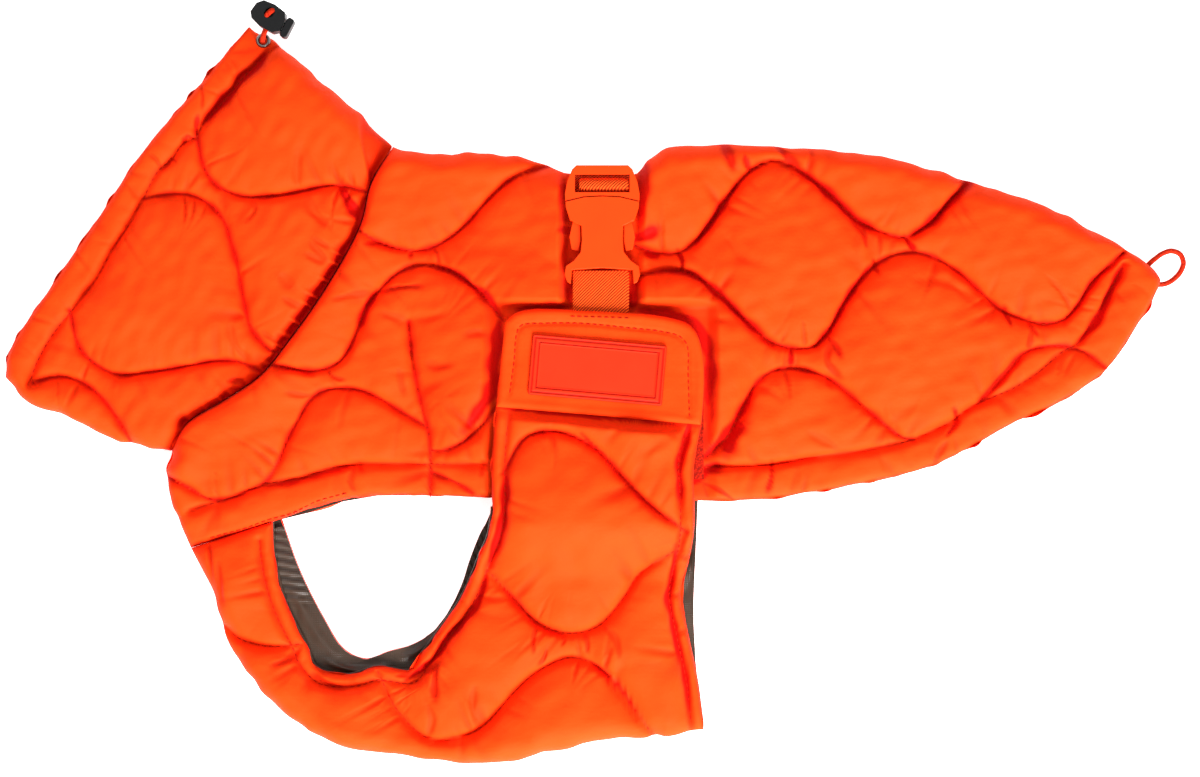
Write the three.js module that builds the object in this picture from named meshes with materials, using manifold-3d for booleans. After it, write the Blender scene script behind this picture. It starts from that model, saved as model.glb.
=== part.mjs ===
// A quilted winter coat for a small dog, lying flat on its right side: a collar, a back
// panel with a ridge down the middle, a belly panel whose two flaps come up over the sides,
// and a buckled strap that joins the flaps over the back.
// Millimetres, +X toward the tail, +Y toward the ridge of the back, +Z up from the floor.

import * as THREE from "three";
import { mergeVertices } from "three/addons/utils/BufferGeometryUtils.js";
import Module from "manifold-3d";

const wasm = await Module();
wasm.setup();

// Driving sizes

const seamGap = 0.6; // between two pieces sewn together
const layerGap = 0.35; // between a piece and what it lies on
const farWall = 5.5; // padded cloth of the half that lies on the floor
const lyingGap = 2.7; // air between the two halves, with the lining in it
const nearInside = farWall + lyingGap;
const middle = farWall + lyingGap / 2; // height at which the cloth turns back at a fold
const stitched = 3; // padded cloth where a stitch line holds it down
const puff = 11; // rise of a quilted cell above its stitch lines
const foldRadius = 10;
const foldWall = 4;
const casing = 14; // channel for the elastic cord along the hem and the rim
const casingRise = 4.5;
const binding = 5.5; // flat topstitched band along the leg openings and the flaps
const neckAxis = THREE.MathUtils.degToRad(-33); // from the rim to the collar seam
const waveHeight = 20; // half the height of a quilting wave
const farFlap = 4;
const flapInside = 21; // height of the near flap over the padded back
const webbing = { width: 25.2, thick: 2, x: 7.6 };

const colours = {
  shell: 0xff5a1e,
  lining: 0x6d5f55,
  webbing: 0xf2531b,
  buckle: 0xff6814,
  badge: 0xfb5330,
  lock: 0x26272b,
  eyelet: 0x55575c,
  cord: 0xc63324,
  tape: 0xd3330f,
};

// Outlines in plan, each from its first to its last point

const plan = {
  rim: [
    { x: -151, y: 167 },
    { x: -170, y: 144.2 },
    { x: -199, y: 110 },
    { x: -219, y: 80 },
    { x: -240, y: 49.6 },
    { x: -258.5, y: 21 },
    { x: -261, y: 9.5 },
  ],
  nape: [
    { x: -151, y: 167 },
    { x: -137, y: 158.6 },
    { x: -123, y: 147 },
    { x: -104, y: 130 },
    { x: -86.4, y: 112.8 },
  ],
  throat: [
    { x: -261, y: 9.5 },
    { x: -252, y: -1 },
    { x: -232, y: -9.5 },
    { x: -210, y: -19.8 },
    { x: -186, y: -24 },
  ],
  seam: [
    { x: -86.4, y: 112.8 },
    { x: -96, y: 96 },
    { x: -100.5, y: 78 },
    { x: -117, y: 48 },
    { x: -134, y: 24 },
    { x: -146, y: 9.5 },
    { x: -163, y: -2 },
    { x: -179, y: -12 },
    { x: -186, y: -24 },
  ],
  ridge: [
    { x: -86.4, y: 112.8 },
    { x: -72, y: 110 },
    { x: -40, y: 109.8 },
    { x: -18, y: 105.2 },
    { x: -8, y: 101 },
    { x: 7, y: 100.5 },
    { x: 24, y: 100.9 },
    { x: 29, y: 107.5 },
    { x: 38, y: 112.6 },
    { x: 60, y: 114 },
    { x: 100, y: 112.4 },
    { x: 135, y: 108.6 },
    { x: 177, y: 96.8 },
    { x: 215, y: 83.2 },
    { x: 240, y: 69.5 },
    { x: 255, y: 60.3 },
  ],
  chest: [
    { x: -186, y: -24 },
    { x: -188.3, y: -38 },
    { x: -184, y: -53 },
    { x: -177.6, y: -67.9 },
  ],
  // Hem from the tail to the chest; the far half hangs out below the near one by drop
  hem: [
    { x: 255, y: 60.3, drop: 0 },
    { x: 260, y: 53.3, drop: 0 },
    { x: 256, y: 43, drop: 0 },
    { x: 247, y: 28.5, drop: 0 },
    { x: 235, y: 12, drop: 0 },
    { x: 219, y: 0.4, drop: 0 },
    { x: 190, y: -13.5, drop: 0 },
    { x: 158, y: -30.5, drop: 0 },
    { x: 120, y: -39.8, drop: 0 },
    { x: 82, y: -45.6, drop: 0 },
    { x: 50, y: -46.2, drop: 0 },
    { x: 0, y: -44.8, drop: 0 },
    { x: -41, y: -44.8, drop: 0 },
    { x: -98.5, y: -44.6, drop: 0.4 },
    { x: -120, y: -49, drop: 2.2 },
    { x: -140.4, y: -56, drop: 0 },
    { x: -177.6, y: -67.9, drop: 0 },
  ],
  bellyFold: [
    { x: -177.6, y: -67.9 },
    { x: -168, y: -87 },
    { x: -159, y: -113 },
    { x: -140, y: -138 },
    { x: -112, y: -156.5 },
    { x: -85, y: -161 },
    { x: -50, y: -165.5 },
    { x: -12, y: -158.3 },
    { x: 25, y: -153.3 },
    { x: 54, y: -149.6 },
  ],
  nearLegEdge: [
    { x: -140.4, y: -56 },
    { x: -139.5, y: -72 },
    { x: -134.5, y: -92 },
    { x: -124.8, y: -112 },
    { x: -120.5, y: -121.2 },
    { x: -106.5, y: -124.6 },
    { x: -93, y: -121 },
    { x: -78, y: -122.4 },
    { x: -58, y: -100 },
    { x: -46.5, y: -83 },
    { x: -41.6, y: -58 },
    { x: -41.2, y: -28 },
    { x: -38.3, y: 5.6 },
    { x: -35.6, y: 34 },
  ],
  farLegEdge: [
    { x: -137.2, y: -55 },
    { x: -129, y: -78 },
    { x: -118, y: -100 },
    { x: -109, y: -114 },
    { x: -99, y: -118.4 },
    { x: -86, y: -114 },
    { x: -70, y: -109 },
    { x: -57, y: -93 },
    { x: -49, y: -68 },
    { x: -42.5, y: -48 },
    { x: -40, y: -28 },
    { x: -37, y: 6 },
    { x: -35, y: 34 },
  ],
  nearRearEdge: [
    { x: 54, y: -149.6 },
    { x: 51.8, y: -129.4 },
    { x: 46.8, y: -105.5 },
    { x: 43.8, y: -88 },
    { x: 48.2, y: -66.8 },
    { x: 51, y: -46 },
    { x: 52.8, y: -10 },
    { x: 53, y: 20 },
    { x: 48.5, y: 31.5 },
    { x: 38, y: 35.8 },
    { x: 0, y: 39.2 },
    { x: -29, y: 38.6 },
    { x: -35.6, y: 34 },
  ],
  farRearEdge: [
    { x: 54, y: -149.6 },
    { x: 50.5, y: -120 },
    { x: 49.5, y: -95 },
    { x: 50.5, y: -70 },
    { x: 51.5, y: -46 },
    { x: 52.8, y: -10 },
    { x: 53, y: 20 },
    { x: 48.5, y: 31.5 },
    { x: 38, y: 35.8 },
    { x: 0, y: 39.2 },
    { x: -29, y: 38.6 },
    { x: -35, y: 34 },
  ],
};

// Quilting: wave lines that swing against each other. A row gives the place of one crest or
// trough along the line, and the mean height of each line there.

const quilting = {
  back: [
    { along: -222, lines: [132, 87, 20, -36, -80] },
    { along: -166, lines: [130, 86, 26, -27, -72] },
    { along: -112, lines: [128, 86, 34, -16, -64] },
    { along: -72, lines: [127, 85, 39, -8, -52] },
    { along: -17, lines: [127, 84, 40, -4, -48] },
    { along: 41, lines: [127, 83.5, 39, -4, -48] },
    { along: 95, lines: [128, 86, 42, -6, -50] },
    { along: 145, lines: [134, 92, 45, 1, -44] },
    { along: 209, lines: [140, 98, 53, 3, -42] },
    { along: 268, lines: [144, 102, 58, 6, -38] },
  ],
  collar: [
    { along: -30, lines: [2, 50, 96, 144, 192] },
    { along: 30, lines: [2, 47, 96, 143, 192] },
    { along: 86, lines: [4, 54, 97, 145, 194] },
    { along: 142, lines: [4, 54, 97, 145, 194] },
  ],
  belly: [
    { along: -190, lines: [16, -38, -88, -136, -184] },
    { along: -134, lines: [14, -38, -90, -136, -184] },
    { along: -63, lines: [12, -36, -87, -134, -182] },
    { along: -9, lines: [12, -36, -87, -137, -184] },
    { along: 45, lines: [12, -37, -87, -140, -186] },
    { along: 100, lines: [12, -37, -87, -140, -186] },
  ],
};

const collarOrigin = new THREE.Vector2(-152.5, 166.3);

function smooth(value, from, to) {
  return THREE.MathUtils.smoothstep(Math.abs(value - from) * Math.sign((value - from) * (to - from)), 0,
    Math.abs(to - from));
}

function within(value, low, high, soft) {
  return smooth(value, low - soft, low) * (1 - smooth(value, high, high + soft));
}

// Quarter-round rise from 0 at an edge to 1 at the reach
function rounded(distance, reach) {
  const left = 1 - Math.min(Math.max(distance / reach, 0), 1);
  return Math.sqrt(1 - left * left);
}

// The lines of a row with one more on each side, past the edges of the cloth
function withOuterLines(lines) {
  const last = lines.length - 1;
  return [2 * lines[0] - lines[1], ...lines, 2 * lines[last] - lines[last - 1]];
}

// Pillow of a quilted cell, from 0 on its stitch lines to 1 in the middle of a wide cell.
// The first crest turns up or down with sign; neighbouring lines swing against each other.
function cellRise(along, across, rows, sign) {
  let n = 0;
  while (n < rows.length - 2 && along > rows[n + 1].along) n += 1;
  const share = (along - rows[n].along) / (rows[n + 1].along - rows[n].along);
  const swing = waveHeight * Math.cos(Math.PI * (n + share)) * sign;
  const blend = THREE.MathUtils.smoothstep(share, 0, 1);
  const [here, next] = [withOuterLines(rows[n].lines), withOuterLines(rows[n + 1].lines)];
  const lines = here.map((mean, k) => mean + (next[k] - mean) * blend + (k % 2 === 0 ? -swing : swing));
  for (let k = 0; k < lines.length - 1; k += 1) {
    const width = Math.abs(lines[k] - lines[k + 1]);
    const inside = Math.abs(across - lines[k]) / width;
    const between = (across - lines[k]) * (across - lines[k + 1]) <= 0;
    if (between) {
      const pillow = 1 - (2 * inside - 1) ** 2;
      return Math.min(width / (4 * waveHeight), 1) ** 0.7 * pillow ** 0.85;
    }
  }
  return 0;
}

// Rise of the far flap and of the strap under the far half of the back
function liftUnderBack(x, y) {
  const overFlap = (farFlap + 0.8) * within(x, -50, 62, 34) * within(y, -80, 47, 24);
  const overStrap = 2.8 * within(x, -8, 23, 18) * smooth(y, 20, 40);
  return Math.max(overFlap, overStrap);
}

// How much of its puff the near back keeps under the near flap and the buckle
function leftUnderLoad(x, y) {
  const flap = within(x, -43, 58, 12) * within(y, -80, 40, 12);
  const buckle = within(x, -9, 27, 9) * smooth(y, 36, 48);
  return (1 - 0.82 * flap) * (1 - 0.92 * buckle);
}

function flapShare(x, y) {
  return smooth(y, -84, -54) * smooth(x, -66, -50);
}

// Surfaces

function spline(points, sag = 0) {
  const places = points.map((p) => new THREE.Vector3(p.x, p.y - sag * (p.drop ?? 0), 0));
  return new THREE.CatmullRomCurve3(places, false, "centripetal");
}

// Coons patch: u runs along start and end, v along first and last
function patch(start, end, first, last) {
  const corner = [start.getPointAt(0), start.getPointAt(1), end.getPointAt(0), end.getPointAt(1)];
  return (u, v) => {
    const point = start.getPointAt(u).multiplyScalar(1 - v);
    point.addScaledVector(end.getPointAt(u), v);
    point.addScaledVector(first.getPointAt(v), 1 - u);
    point.addScaledVector(last.getPointAt(v), u);
    point.addScaledVector(corner[0], -(1 - u) * (1 - v));
    point.addScaledVector(corner[1], -u * (1 - v));
    point.addScaledVector(corner[2], -(1 - u) * v);
    point.addScaledVector(corner[3], -u * v);
    return point;
  };
}

// Share of u that lies one millimetre from the fold at u = side, square to that fold
function shareOfMillimetre(surface, side, v) {
  const step = 0.02;
  const away = side === 0 ? step : 1 - step;
  const fold = surface(side, v);
  const across = surface(away, v).sub(fold);
  const run = surface(side, Math.min(v + 0.01, 1)).sub(surface(side, Math.max(v - 0.01, 0)));
  return step / (Math.abs(across.x * run.y - across.y * run.x) / run.length());
}

// Places around a folded tube or strip: those of a fold carry their turn from 0 to 1, the
// ones between carry their share of the way across.
function placesAround({ near, far, fold, closed }) {
  const turns = Array.from({ length: fold }, (_, k) => k / fold);
  const across = (steps) => Array.from({ length: steps + 1 }, (_, k) => ({ share: k / steps, turn: 1 }));
  const first = (half) => turns.map((turn) => ({ side: 0, turn, half }));
  const last = (half) => turns.map((turn) => ({ side: 1, turn, half })).reverse();
  const nearPlaces = across(near).map((place) => ({ ...place, half: "near" }));
  const farPlaces = across(far).map((place) => ({ ...place, half: "far" })).reverse();
  if (closed) {
    const backWay = last("far").slice(0, -1).reverse();
    return [...first("near"), ...nearPlaces, ...last("near"), ...backWay, ...farPlaces,
      ...first("far").slice(1).reverse()];
  }
  return [...farPlaces, ...first("far").slice(1).reverse(), ...first("near"), ...nearPlaces];
}

// Plan point and turn of one place; deep moves the place inside the wall at a fold
function onPlan(place, surfaces, v, deep, closed) {
  const surface = surfaces[place.half];
  const reach = [0, 1].map((side) => foldRadius * shareOfMillimetre(surface, side, v));
  const high = closed ? 1 - reach[1] : 1;
  let u = reach[0] + (high - reach[0]) * (place.share ?? 0);
  if (place.side !== undefined) {
    const wall = deep ? foldWall : 0;
    const from = wall + (foldRadius - wall) * (1 - Math.cos((place.turn * Math.PI) / 2));
    const part = (from / foldRadius) * reach[place.side];
    u = place.side === 0 ? part : 1 - part;
  }
  return { at: surface(u, v), u, v, rise: Math.sin((place.turn * Math.PI) / 2) };
}

// Closed skin between an outer grid and an inner grid with fewer rows, as flat faces
function skin(outer, inner, closed) {
  const points = [];
  const index = [];
  const numbered = (grid) => grid.map((line) => line.map((point) => points.push(point) - 1));
  const out = numbered(outer);
  const back = numbered(inner);
  const rows = out[0].length - 1;
  const coarse = back[0].length - 1;
  const step = rows / coarse;
  const quad = (a, b, c, d) => index.push(a, b, c, a, c, d);
  const loops = closed ? out.length : out.length - 1;
  for (let i = 0; i < loops; i += 1) {
    const next = (i + 1) % out.length;
    for (let j = 0; j < rows; j += 1) quad(out[i][j], out[i][j + 1], out[next][j + 1], out[next][j]);
    for (let k = 0; k < coarse; k += 1) quad(back[i][k], back[next][k], back[next][k + 1], back[i][k + 1]);
    quad(out[i][0], out[next][0], back[next][0], back[i][0]);
    quad(out[i][rows], back[i][coarse], back[next][coarse], out[next][rows]);
  }
  const zip = (fine, rough, flip) => {
    const face = (a, b, c) => (flip ? index.push(a, c, b) : index.push(a, b, c));
    for (let k = 0; k < coarse; k += 1) {
      for (let j = 0; j < step; j += 1) {
        face(fine[k * step + j], rough[j < step / 2 ? k : k + 1], fine[k * step + j + 1]);
      }
      face(rough[k], rough[k + 1], fine[k * step + Math.ceil(step / 2)]);
    }
  };
  if (!closed) {
    zip(out[0], back[0], false);
    zip(out[loops], back[loops], true);
  }
  const geometry = new THREE.BufferGeometry().setFromPoints(points);
  geometry.setIndex(index);
  return outward(geometry);
}

// The same solid with its faces turned outward
function outward(geometry) {
  const corner = (n) => new THREE.Vector3().fromBufferAttribute(geometry.attributes.position, n);
  const index = geometry.index.array;
  let volume = 0;
  for (let n = 0; n < index.length; n += 3) {
    volume += corner(index[n]).dot(corner(index[n + 1]).cross(corner(index[n + 2])));
  }
  if (volume < 0) {
    for (let n = 0; n < index.length; n += 3) {
      [index[n + 1], index[n + 2]] = [index[n + 2], index[n + 1]];
    }
  }
  geometry.computeVertexNormals();
  return geometry;
}

// Folded cloth: heights gives the four surfaces over a plan point, and its rows run from
// the start edge to the end edge.
function foldedCloth(surfaces, heights, { near, far, fold, rows, insideRows, closed }) {
  const places = placesAround({ near, far, fold, closed });
  const grid = (count, deep) => places.map((place) =>
    Array.from({ length: count + 1 }, (_, j) => {
      const spot = onPlan(place, surfaces, j / count, deep, closed);
      const level = heights(place.half, deep, spot);
      const turn = heights.middle(spot.at.x, spot.at.y);
      spot.at.z = turn + (level - turn) * spot.rise;
      return spot.at;
    }));
  return skin(grid(rows, false), grid(insideRows, true), closed);
}

function toManifold(geometry) {
  const bare = new THREE.BufferGeometry();
  bare.setAttribute("position", geometry.getAttribute("position").clone());
  if (geometry.index) bare.setIndex(geometry.index.clone());
  const merged = mergeVertices(bare, 1e-4);
  return new wasm.Manifold(new wasm.Mesh({
    numProp: 3,
    vertProperties: new Float32Array(merged.attributes.position.array),
    triVerts: new Uint32Array(merged.index.array),
  }));
}

function fromManifold(solid) {
  const mesh = solid.getMesh();
  const geometry = new THREE.BufferGeometry();
  geometry.setAttribute("position", new THREE.BufferAttribute(new Float32Array(mesh.vertProperties), 3));
  geometry.setIndex(Array.from(mesh.triVerts));
  geometry.computeVertexNormals();
  return geometry;
}

const group = new THREE.Group();

function addSolid(name, geometry, colour, roughness = 0.8) {
  const material = new THREE.MeshStandardMaterial({ color: colour, roughness, metalness: 0 });
  const mesh = new THREE.Mesh(geometry, material);
  mesh.name = name;
  group.add(mesh);
  return mesh;
}

// Heights of the cloth over the floor

const neckWay = new THREE.Vector2(Math.cos(neckAxis), Math.sin(neckAxis));
const rimWay = new THREE.Vector2(Math.sin(neckAxis), -Math.cos(neckAxis));

function stitchedTop(x, y) {
  return nearInside + stitched + liftUnderBack(x, y);
}

// Channel along an edge and the quilting beyond it, from the distance to that edge
function edgeRelief(distance, channel, cells) {
  if (distance < channel) {
    const inside = Math.max(distance, 0) / channel;
    return casingRise * (1 - (2 * inside - 1) ** 2) ** 0.6;
  }
  return cells * rounded(distance - channel, 12);
}

function backTop(x, y, toSeam, toHem) {
  const cells = puff * cellRise(x, y, quilting.back, -1) * rounded(toSeam, 14);
  return stitchedTop(x, y) + edgeRelief(toHem, casing, cells) * leftUnderLoad(x, y);
}

function collarTop(x, y, toSeam, toRim) {
  const from = new THREE.Vector2(x, y).sub(collarOrigin);
  const cells = puff * cellRise(from.dot(neckWay), from.dot(rimWay), quilting.collar, 1);
  const flatTip = 1 - 0.9 * smooth(from.length(), 30, 12);
  return nearInside + stitched + edgeRelief(toRim, casing + 1, cells * rounded(toSeam, 18)) * flatTip;
}

function bellyInside(x, y) {
  return nearInside + (flapInside - nearInside) * flapShare(x, y);
}

// The upper end of the near flap is plain, because its facing lies there
function facedShare(x, y) {
  return smooth(y, -27 - 0.09 * x, -16 - 0.09 * x) * flapShare(x, y);
}

function bellyTop(x, y, toLeg, toRear, toStart) {
  const open = Math.min(toLeg, toRear);
  const cells = puff * cellRise(x, y, quilting.belly, 1) * rounded(toStart, 12);
  const quilted = cells * rounded(open - binding, 12) * (1 - facedShare(x, y));
  return bellyInside(x, y) + stitched + quilted;
}

// Collar and back share their places around, so their faces match at the seam

const ringSteps = { near: 42, far: 14, fold: 4, closed: true };
const seam = spline(plan.seam);

function length(surface, u) {
  return surface(u, 1).distanceTo(surface(u, 0));
}

const collarPlan = patch(spline(plan.rim), seam, spline(plan.nape), spline(plan.throat));

function collarHeights(half, deep, { at, u, v }) {
  if (half === "far") return deep ? farWall : 0;
  if (deep) return nearInside;
  const run = length(collarPlan, u);
  return collarTop(at.x, at.y, (1 - v) * run, v * run);
}
collarHeights.middle = () => middle;

const collar = foldedCloth({ near: collarPlan, far: collarPlan }, collarHeights,
  { ...ringSteps, rows: 10, insideRows: 2 });
collar.translate(-neckWay.x * seamGap, -neckWay.y * seamGap, 0);
addSolid("collar", collar, colours.shell);

// Back panel

const backSides = [spline(plan.ridge), spline(plan.chest)];
const backPlan = {
  near: patch(seam, spline(plan.hem), ...backSides),
  far: patch(seam, spline(plan.hem, 1), ...backSides),
};

function backHeights(half, deep, { at, u, v }) {
  const lift = liftUnderBack(at.x, at.y);
  if (half === "far") return (deep ? farWall : 0) + lift;
  if (deep) return nearInside + lift;
  const run = length(backPlan.near, u);
  return backTop(at.x, at.y, v * run, (1 - v) * run);
}
backHeights.middle = (x, y) => middle + liftUnderBack(x, y);

addSolid("back_panel", foldedCloth(backPlan, backHeights,
  { ...ringSteps, rows: 36, insideRows: 9 }), colours.shell);

// Belly panel with its two flaps, folded along the belly

const bellyFold = spline(plan.bellyFold);
const bellyPlan = {};
for (const half of ["near", "far"]) {
  const edge = spline(plan[`${half}LegEdge`]);
  const start = new THREE.LineCurve3(bellyFold.getPointAt(0), edge.getPointAt(0));
  bellyPlan[half] = patch(start, spline(plan[`${half}RearEdge`]), bellyFold, edge);
}
const bellyShift = new THREE.Vector2(0.305, -0.952).multiplyScalar(seamGap);

function bellyHeights(half, deep, { at, u, v }) {
  const { x, y } = at;
  if (half === "far") return deep ? farWall - (farWall - farFlap) * flapShare(x, y) : 0;
  if (deep) return bellyInside(x, y);
  const surface = bellyPlan.near;
  const across = surface(1, v).distanceTo(surface(0, v));
  const run = length(surface, u);
  return bellyTop(x, y, (1 - u) * across, (1 - v) * run, v * run);
}
bellyHeights.middle = () => middle;

const belly = foldedCloth(bellyPlan, bellyHeights,
  { near: 22, far: 10, fold: 4, rows: 36, insideRows: 9, closed: false });
belly.translate(bellyShift.x, bellyShift.y, 0);
addSolid("belly_panel", belly, colours.shell);

// Lining of the far half, which shows inside the leg opening and along the rear edge

const liningRows = 20;
const liningSteps = 6;
const liningSheet = [farWall + layerGap, farWall + layerGap + 1.1].map((z) =>
  Array.from({ length: liningSteps + 1 }, (_, i) =>
    Array.from({ length: liningRows + 1 }, (_, j) => {
      const v = 0.012 + (0.982 * j) / liningRows;
      const inset = (foldWall + 5) * shareOfMillimetre(bellyPlan.far, 0, v);
      const point = bellyPlan.far(inset + ((0.996 - inset) * i) / liningSteps, v);
      point.z = z;
      return point;
    })));
const lining = toManifold(skin(liningSheet[1], liningSheet[0], false));
const hemLine = 52;
const shownLining = fromManifold(lining.trimByPlane([0, -1, 0], hemLine));
shownLining.translate(bellyShift.x, bellyShift.y, 0);
addSolid("belly_lining", shownLining, colours.lining, 0.5);

// Facing across the upper end of the near flap, sewn down with a strap end under it

const facingTop = flapInside + stitched + layerGap + 0.2;
const facingThick = 1.3;

function plate(corners, thickness, z) {
  const shape = new THREE.Shape(corners.map(([x, y]) => new THREE.Vector2(x, y)));
  const geometry = new THREE.ExtrudeGeometry(shape, { depth: thickness, bevelEnabled: false });
  return geometry.translate(0, 0, z);
}

const facingFrom = { rear: 0.524, leg: 0.868 }; // shares of the two edges where its lower edge meets them
const facingOutline = [];
for (let k = 0; k <= 32; k += 1) {
  facingOutline.push(bellyPlan.near(facingFrom.rear + ((1 - facingFrom.rear) * k) / 32, 0.998));
}
for (let k = 1; k <= 4; k += 1) {
  facingOutline.push(bellyPlan.near(0.998, 1 - ((1 - facingFrom.leg) * k) / 4));
}
addSolid("flap_facing", plate(facingOutline.map((p) => [p.x + bellyShift.x, p.y + bellyShift.y]), facingThick, facingTop), colours.shell);

// Rubber badge with a double frame and a bare field

const badge = { x: 6, y: 12.3, width: 60, height: 27, tilt: THREE.MathUtils.degToRad(-5), thick: 1.7 };

function roundedRectangle(width, height, radius) {
  const [x, y] = [width / 2, height / 2];
  const shape = new THREE.Shape();
  shape.moveTo(radius - x, -y);
  shape.absarc(x - radius, radius - y, radius, -Math.PI / 2, 0);
  shape.absarc(x - radius, y - radius, radius, 0, Math.PI / 2);
  shape.absarc(radius - x, y - radius, radius, Math.PI / 2, Math.PI);
  shape.absarc(radius - x, radius - y, radius, Math.PI, 1.5 * Math.PI);
  return shape;
}

function slab(shape, depth, z) {
  const geometry = new THREE.ExtrudeGeometry(shape, { depth, bevelEnabled: false, curveSegments: 4 });
  return toManifold(geometry.translate(0, 0, z));
}

const grooveDepth = 0.5;
let badgeSolid = slab(roundedRectangle(badge.width, badge.height, 1.2), badge.thick, 0);
for (const inset of [3.2, 6]) {
  const size = [badge.width - inset, badge.height - inset];
  const ring = slab(roundedRectangle(...size, 0.8), 2, badge.thick - grooveDepth)
    .subtract(slab(roundedRectangle(size[0] - 1, size[1] - 1, 0.5), 3, badge.thick - 1));
  badgeSolid = badgeSolid.subtract(ring);
}
const badgeMesh = addSolid("badge", fromManifold(badgeSolid), colours.badge, 0.5);
badgeMesh.position.set(badge.x, badge.y, facingTop + facingThick + layerGap);
badgeMesh.rotation.z = badge.tilt;

// Hook-and-loop tape on the near back, beside and under the edge of the near flap

const tape = { left: 22, right: 53.6, top: 1, bottom: -40.5, thick: 1.2 };
const tapeGrid = [layerGap + tape.thick, layerGap].map((out) =>
  Array.from({ length: 9 }, (_, i) =>
    Array.from({ length: 9 }, (_, j) => {
      const x = tape.left + ((tape.right - tape.left) * i) / 8;
      const y = tape.bottom + ((tape.top - tape.bottom) * j) / 8;
      const rise = puff * cellRise(x, y, quilting.back, -1) * leftUnderLoad(x, y);
      return new THREE.Vector3(x, y, stitchedTop(x, y) + Math.max(rise, 2) + out);
    })));
addSolid("hook_loop_strip", skin(tapeGrid[0], tapeGrid[1], false), colours.tape);

// Webbing: a band of constant width along a path in the plane of Y and Z

function band(path, name) {
  const shape = new THREE.Shape(path.map((p) => new THREE.Vector2(p.y, p.z)));
  const geometry = new THREE.ExtrudeGeometry(shape, { depth: webbing.width, bevelEnabled: false });
  geometry.applyMatrix4(new THREE.Matrix4().set(
    0, 0, 1, webbing.x - webbing.width / 2,
    1, 0, 0, 0,
    0, 1, 0, 0,
    0, 0, 0, 1,
  ));
  return addSolid(name, geometry, colours.webbing);
}

const flapTopEdge = 38.7;
const buckle = { x: 8.2, bottom: 17.8, thick: 9, top: 103.4, parting: 89.6, waistTop: 79, waist: 70,
  waistBottom: 61, foot: 56.9, ears: 50.8 };
band([
  { y: flapTopEdge + seamGap, z: flapInside + 0.4 },
  { y: buckle.foot - layerGap, z: flapInside - 0.4 },
  { y: buckle.foot - layerGap, z: flapInside - 0.4 + webbing.thick },
  { y: flapTopEdge + seamGap, z: flapInside + 0.4 + webbing.thick },
], "strap_lower");

// The upper strap leaves the buckle, turns over the ridge and runs down the far side to the
// top of the far flap
const strapTurn = { y: 90.8, z: middle + 2.8, reach: 10.7, up: 5.9, down: middle + 2.8 - webbing.thick };
const ring = Array.from({ length: 17 }, (_, k) => (Math.PI * k) / 16);
const around = (out) => ring.map((angle) => {
  const height = angle < Math.PI / 2 ? strapTurn.up : strapTurn.down;
  const y = strapTurn.y + (strapTurn.reach + out) * Math.sin(angle);
  return { y, z: strapTurn.z + (height + out) * Math.cos(angle) };
});
const strapEnd = { near: 86.5, far: flapTopEdge + seamGap + 0.3 };
band([
  { y: strapEnd.near, z: around(0)[0].z },
  ...around(0),
  { y: strapEnd.far, z: webbing.thick },
  { y: strapEnd.far, z: 0 },
  ...around(webbing.thick).reverse(),
  { y: strapEnd.near, z: around(webbing.thick)[0].z },
], "strap_upper");

// Side-release buckle, fastened: half outlines to be mirrored, out from the middle line

function mirrored(half) {
  return [...half.map(([out, y]) => [buckle.x + out, y]),
    ...half.map(([out, y]) => [buckle.x - out, y]).reverse()];
}

function block(corners, z, thickness) {
  return toManifold(plate(corners, thickness, z));
}

const deck = buckle.bottom;
const arm = { inner: 9.6, outer: 14.3 };
const socketOutline = mirrored([
  [0, buckle.parting], [8, buckle.parting - 0.4], [16.4, buckle.parting - 2.4], [16.2, 84.5], [14.4, buckle.waistTop],
  [9.3, 76.5], [9.1, buckle.waist], [9.6, 64.8], [12.6, buckle.waistBottom], [16.2, 58.5], [16.8, 54.5],
  [15.6, buckle.ears + 0.8], [14, buckle.ears], [13.5, buckle.foot], [0, buckle.foot + 0.9],
]);
const armChannel = (side) => block([
  [buckle.x + side * (arm.inner - layerGap - 0.6), 75], [buckle.x + side * (arm.outer - 0.6), 75],
  [buckle.x + side * (arm.outer - 0.6), 92], [buckle.x + side * (arm.inner - layerGap - 0.6), 92],
], deck + 2, 5);
let socket = block(socketOutline, deck, buckle.thick);
for (const side of [-1, 1]) socket = socket.subtract(armChannel(side));
addSolid("buckle_socket", fromManifold(socket), colours.buckle, 0.42);

const plugOutline = mirrored([
  [0, buckle.top], [11.5, buckle.top], [13.4, 101.6], [15.6, 96], [16.6, buckle.parting + 1], [16.5, 87.6],
  [8, buckle.parting - 0.05], [0, buckle.parting + 0.35],
]);
let plug = block(plugOutline, deck, buckle.thick - 0.4);
plug = plug.subtract(block(mirrored([[12.2, 99.4], [12.2, 91.4]]), deck - 1, buckle.thick + 2));
for (const side of [-1, 1]) {
  const rail = [[10.2, 91], [13.2, 91], [13.2, 76.6], [10.2, 76.6]];
  const button = [[9.9, 77.2], [13.4, 77.2], [14.6, 71.5], [13.6, 66.2], [10.6, 65.4], [9.75, 70]];
  for (const corners of [rail, button]) {
    const placed = corners.map(([out, y]) => [buckle.x + side * out, y]);
    plug = plug.add(block(side > 0 ? placed.reverse() : placed, deck + 2.4, 4.2));
  }
}
addSolid("buckle_plug", fromManifold(plug), colours.buckle, 0.42);

// Elastic cord, as a plain tube along its route

function cordTube(points, diameter, steps) {
  const path = new THREE.CatmullRomCurve3(points.map((p) => new THREE.Vector3(p.x, p.y, p.z)), false, "centripetal");
  const section = new THREE.Shape().absarc(0, 0, diameter / 2, 0, 2 * Math.PI);
  return new THREE.ExtrudeGeometry(section, { extrudePath: path, steps, curveSegments: 4, bevelEnabled: false });
}

// Eyelet in the tip of the collar, cord lock beside it and the elastic cord through both

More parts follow.
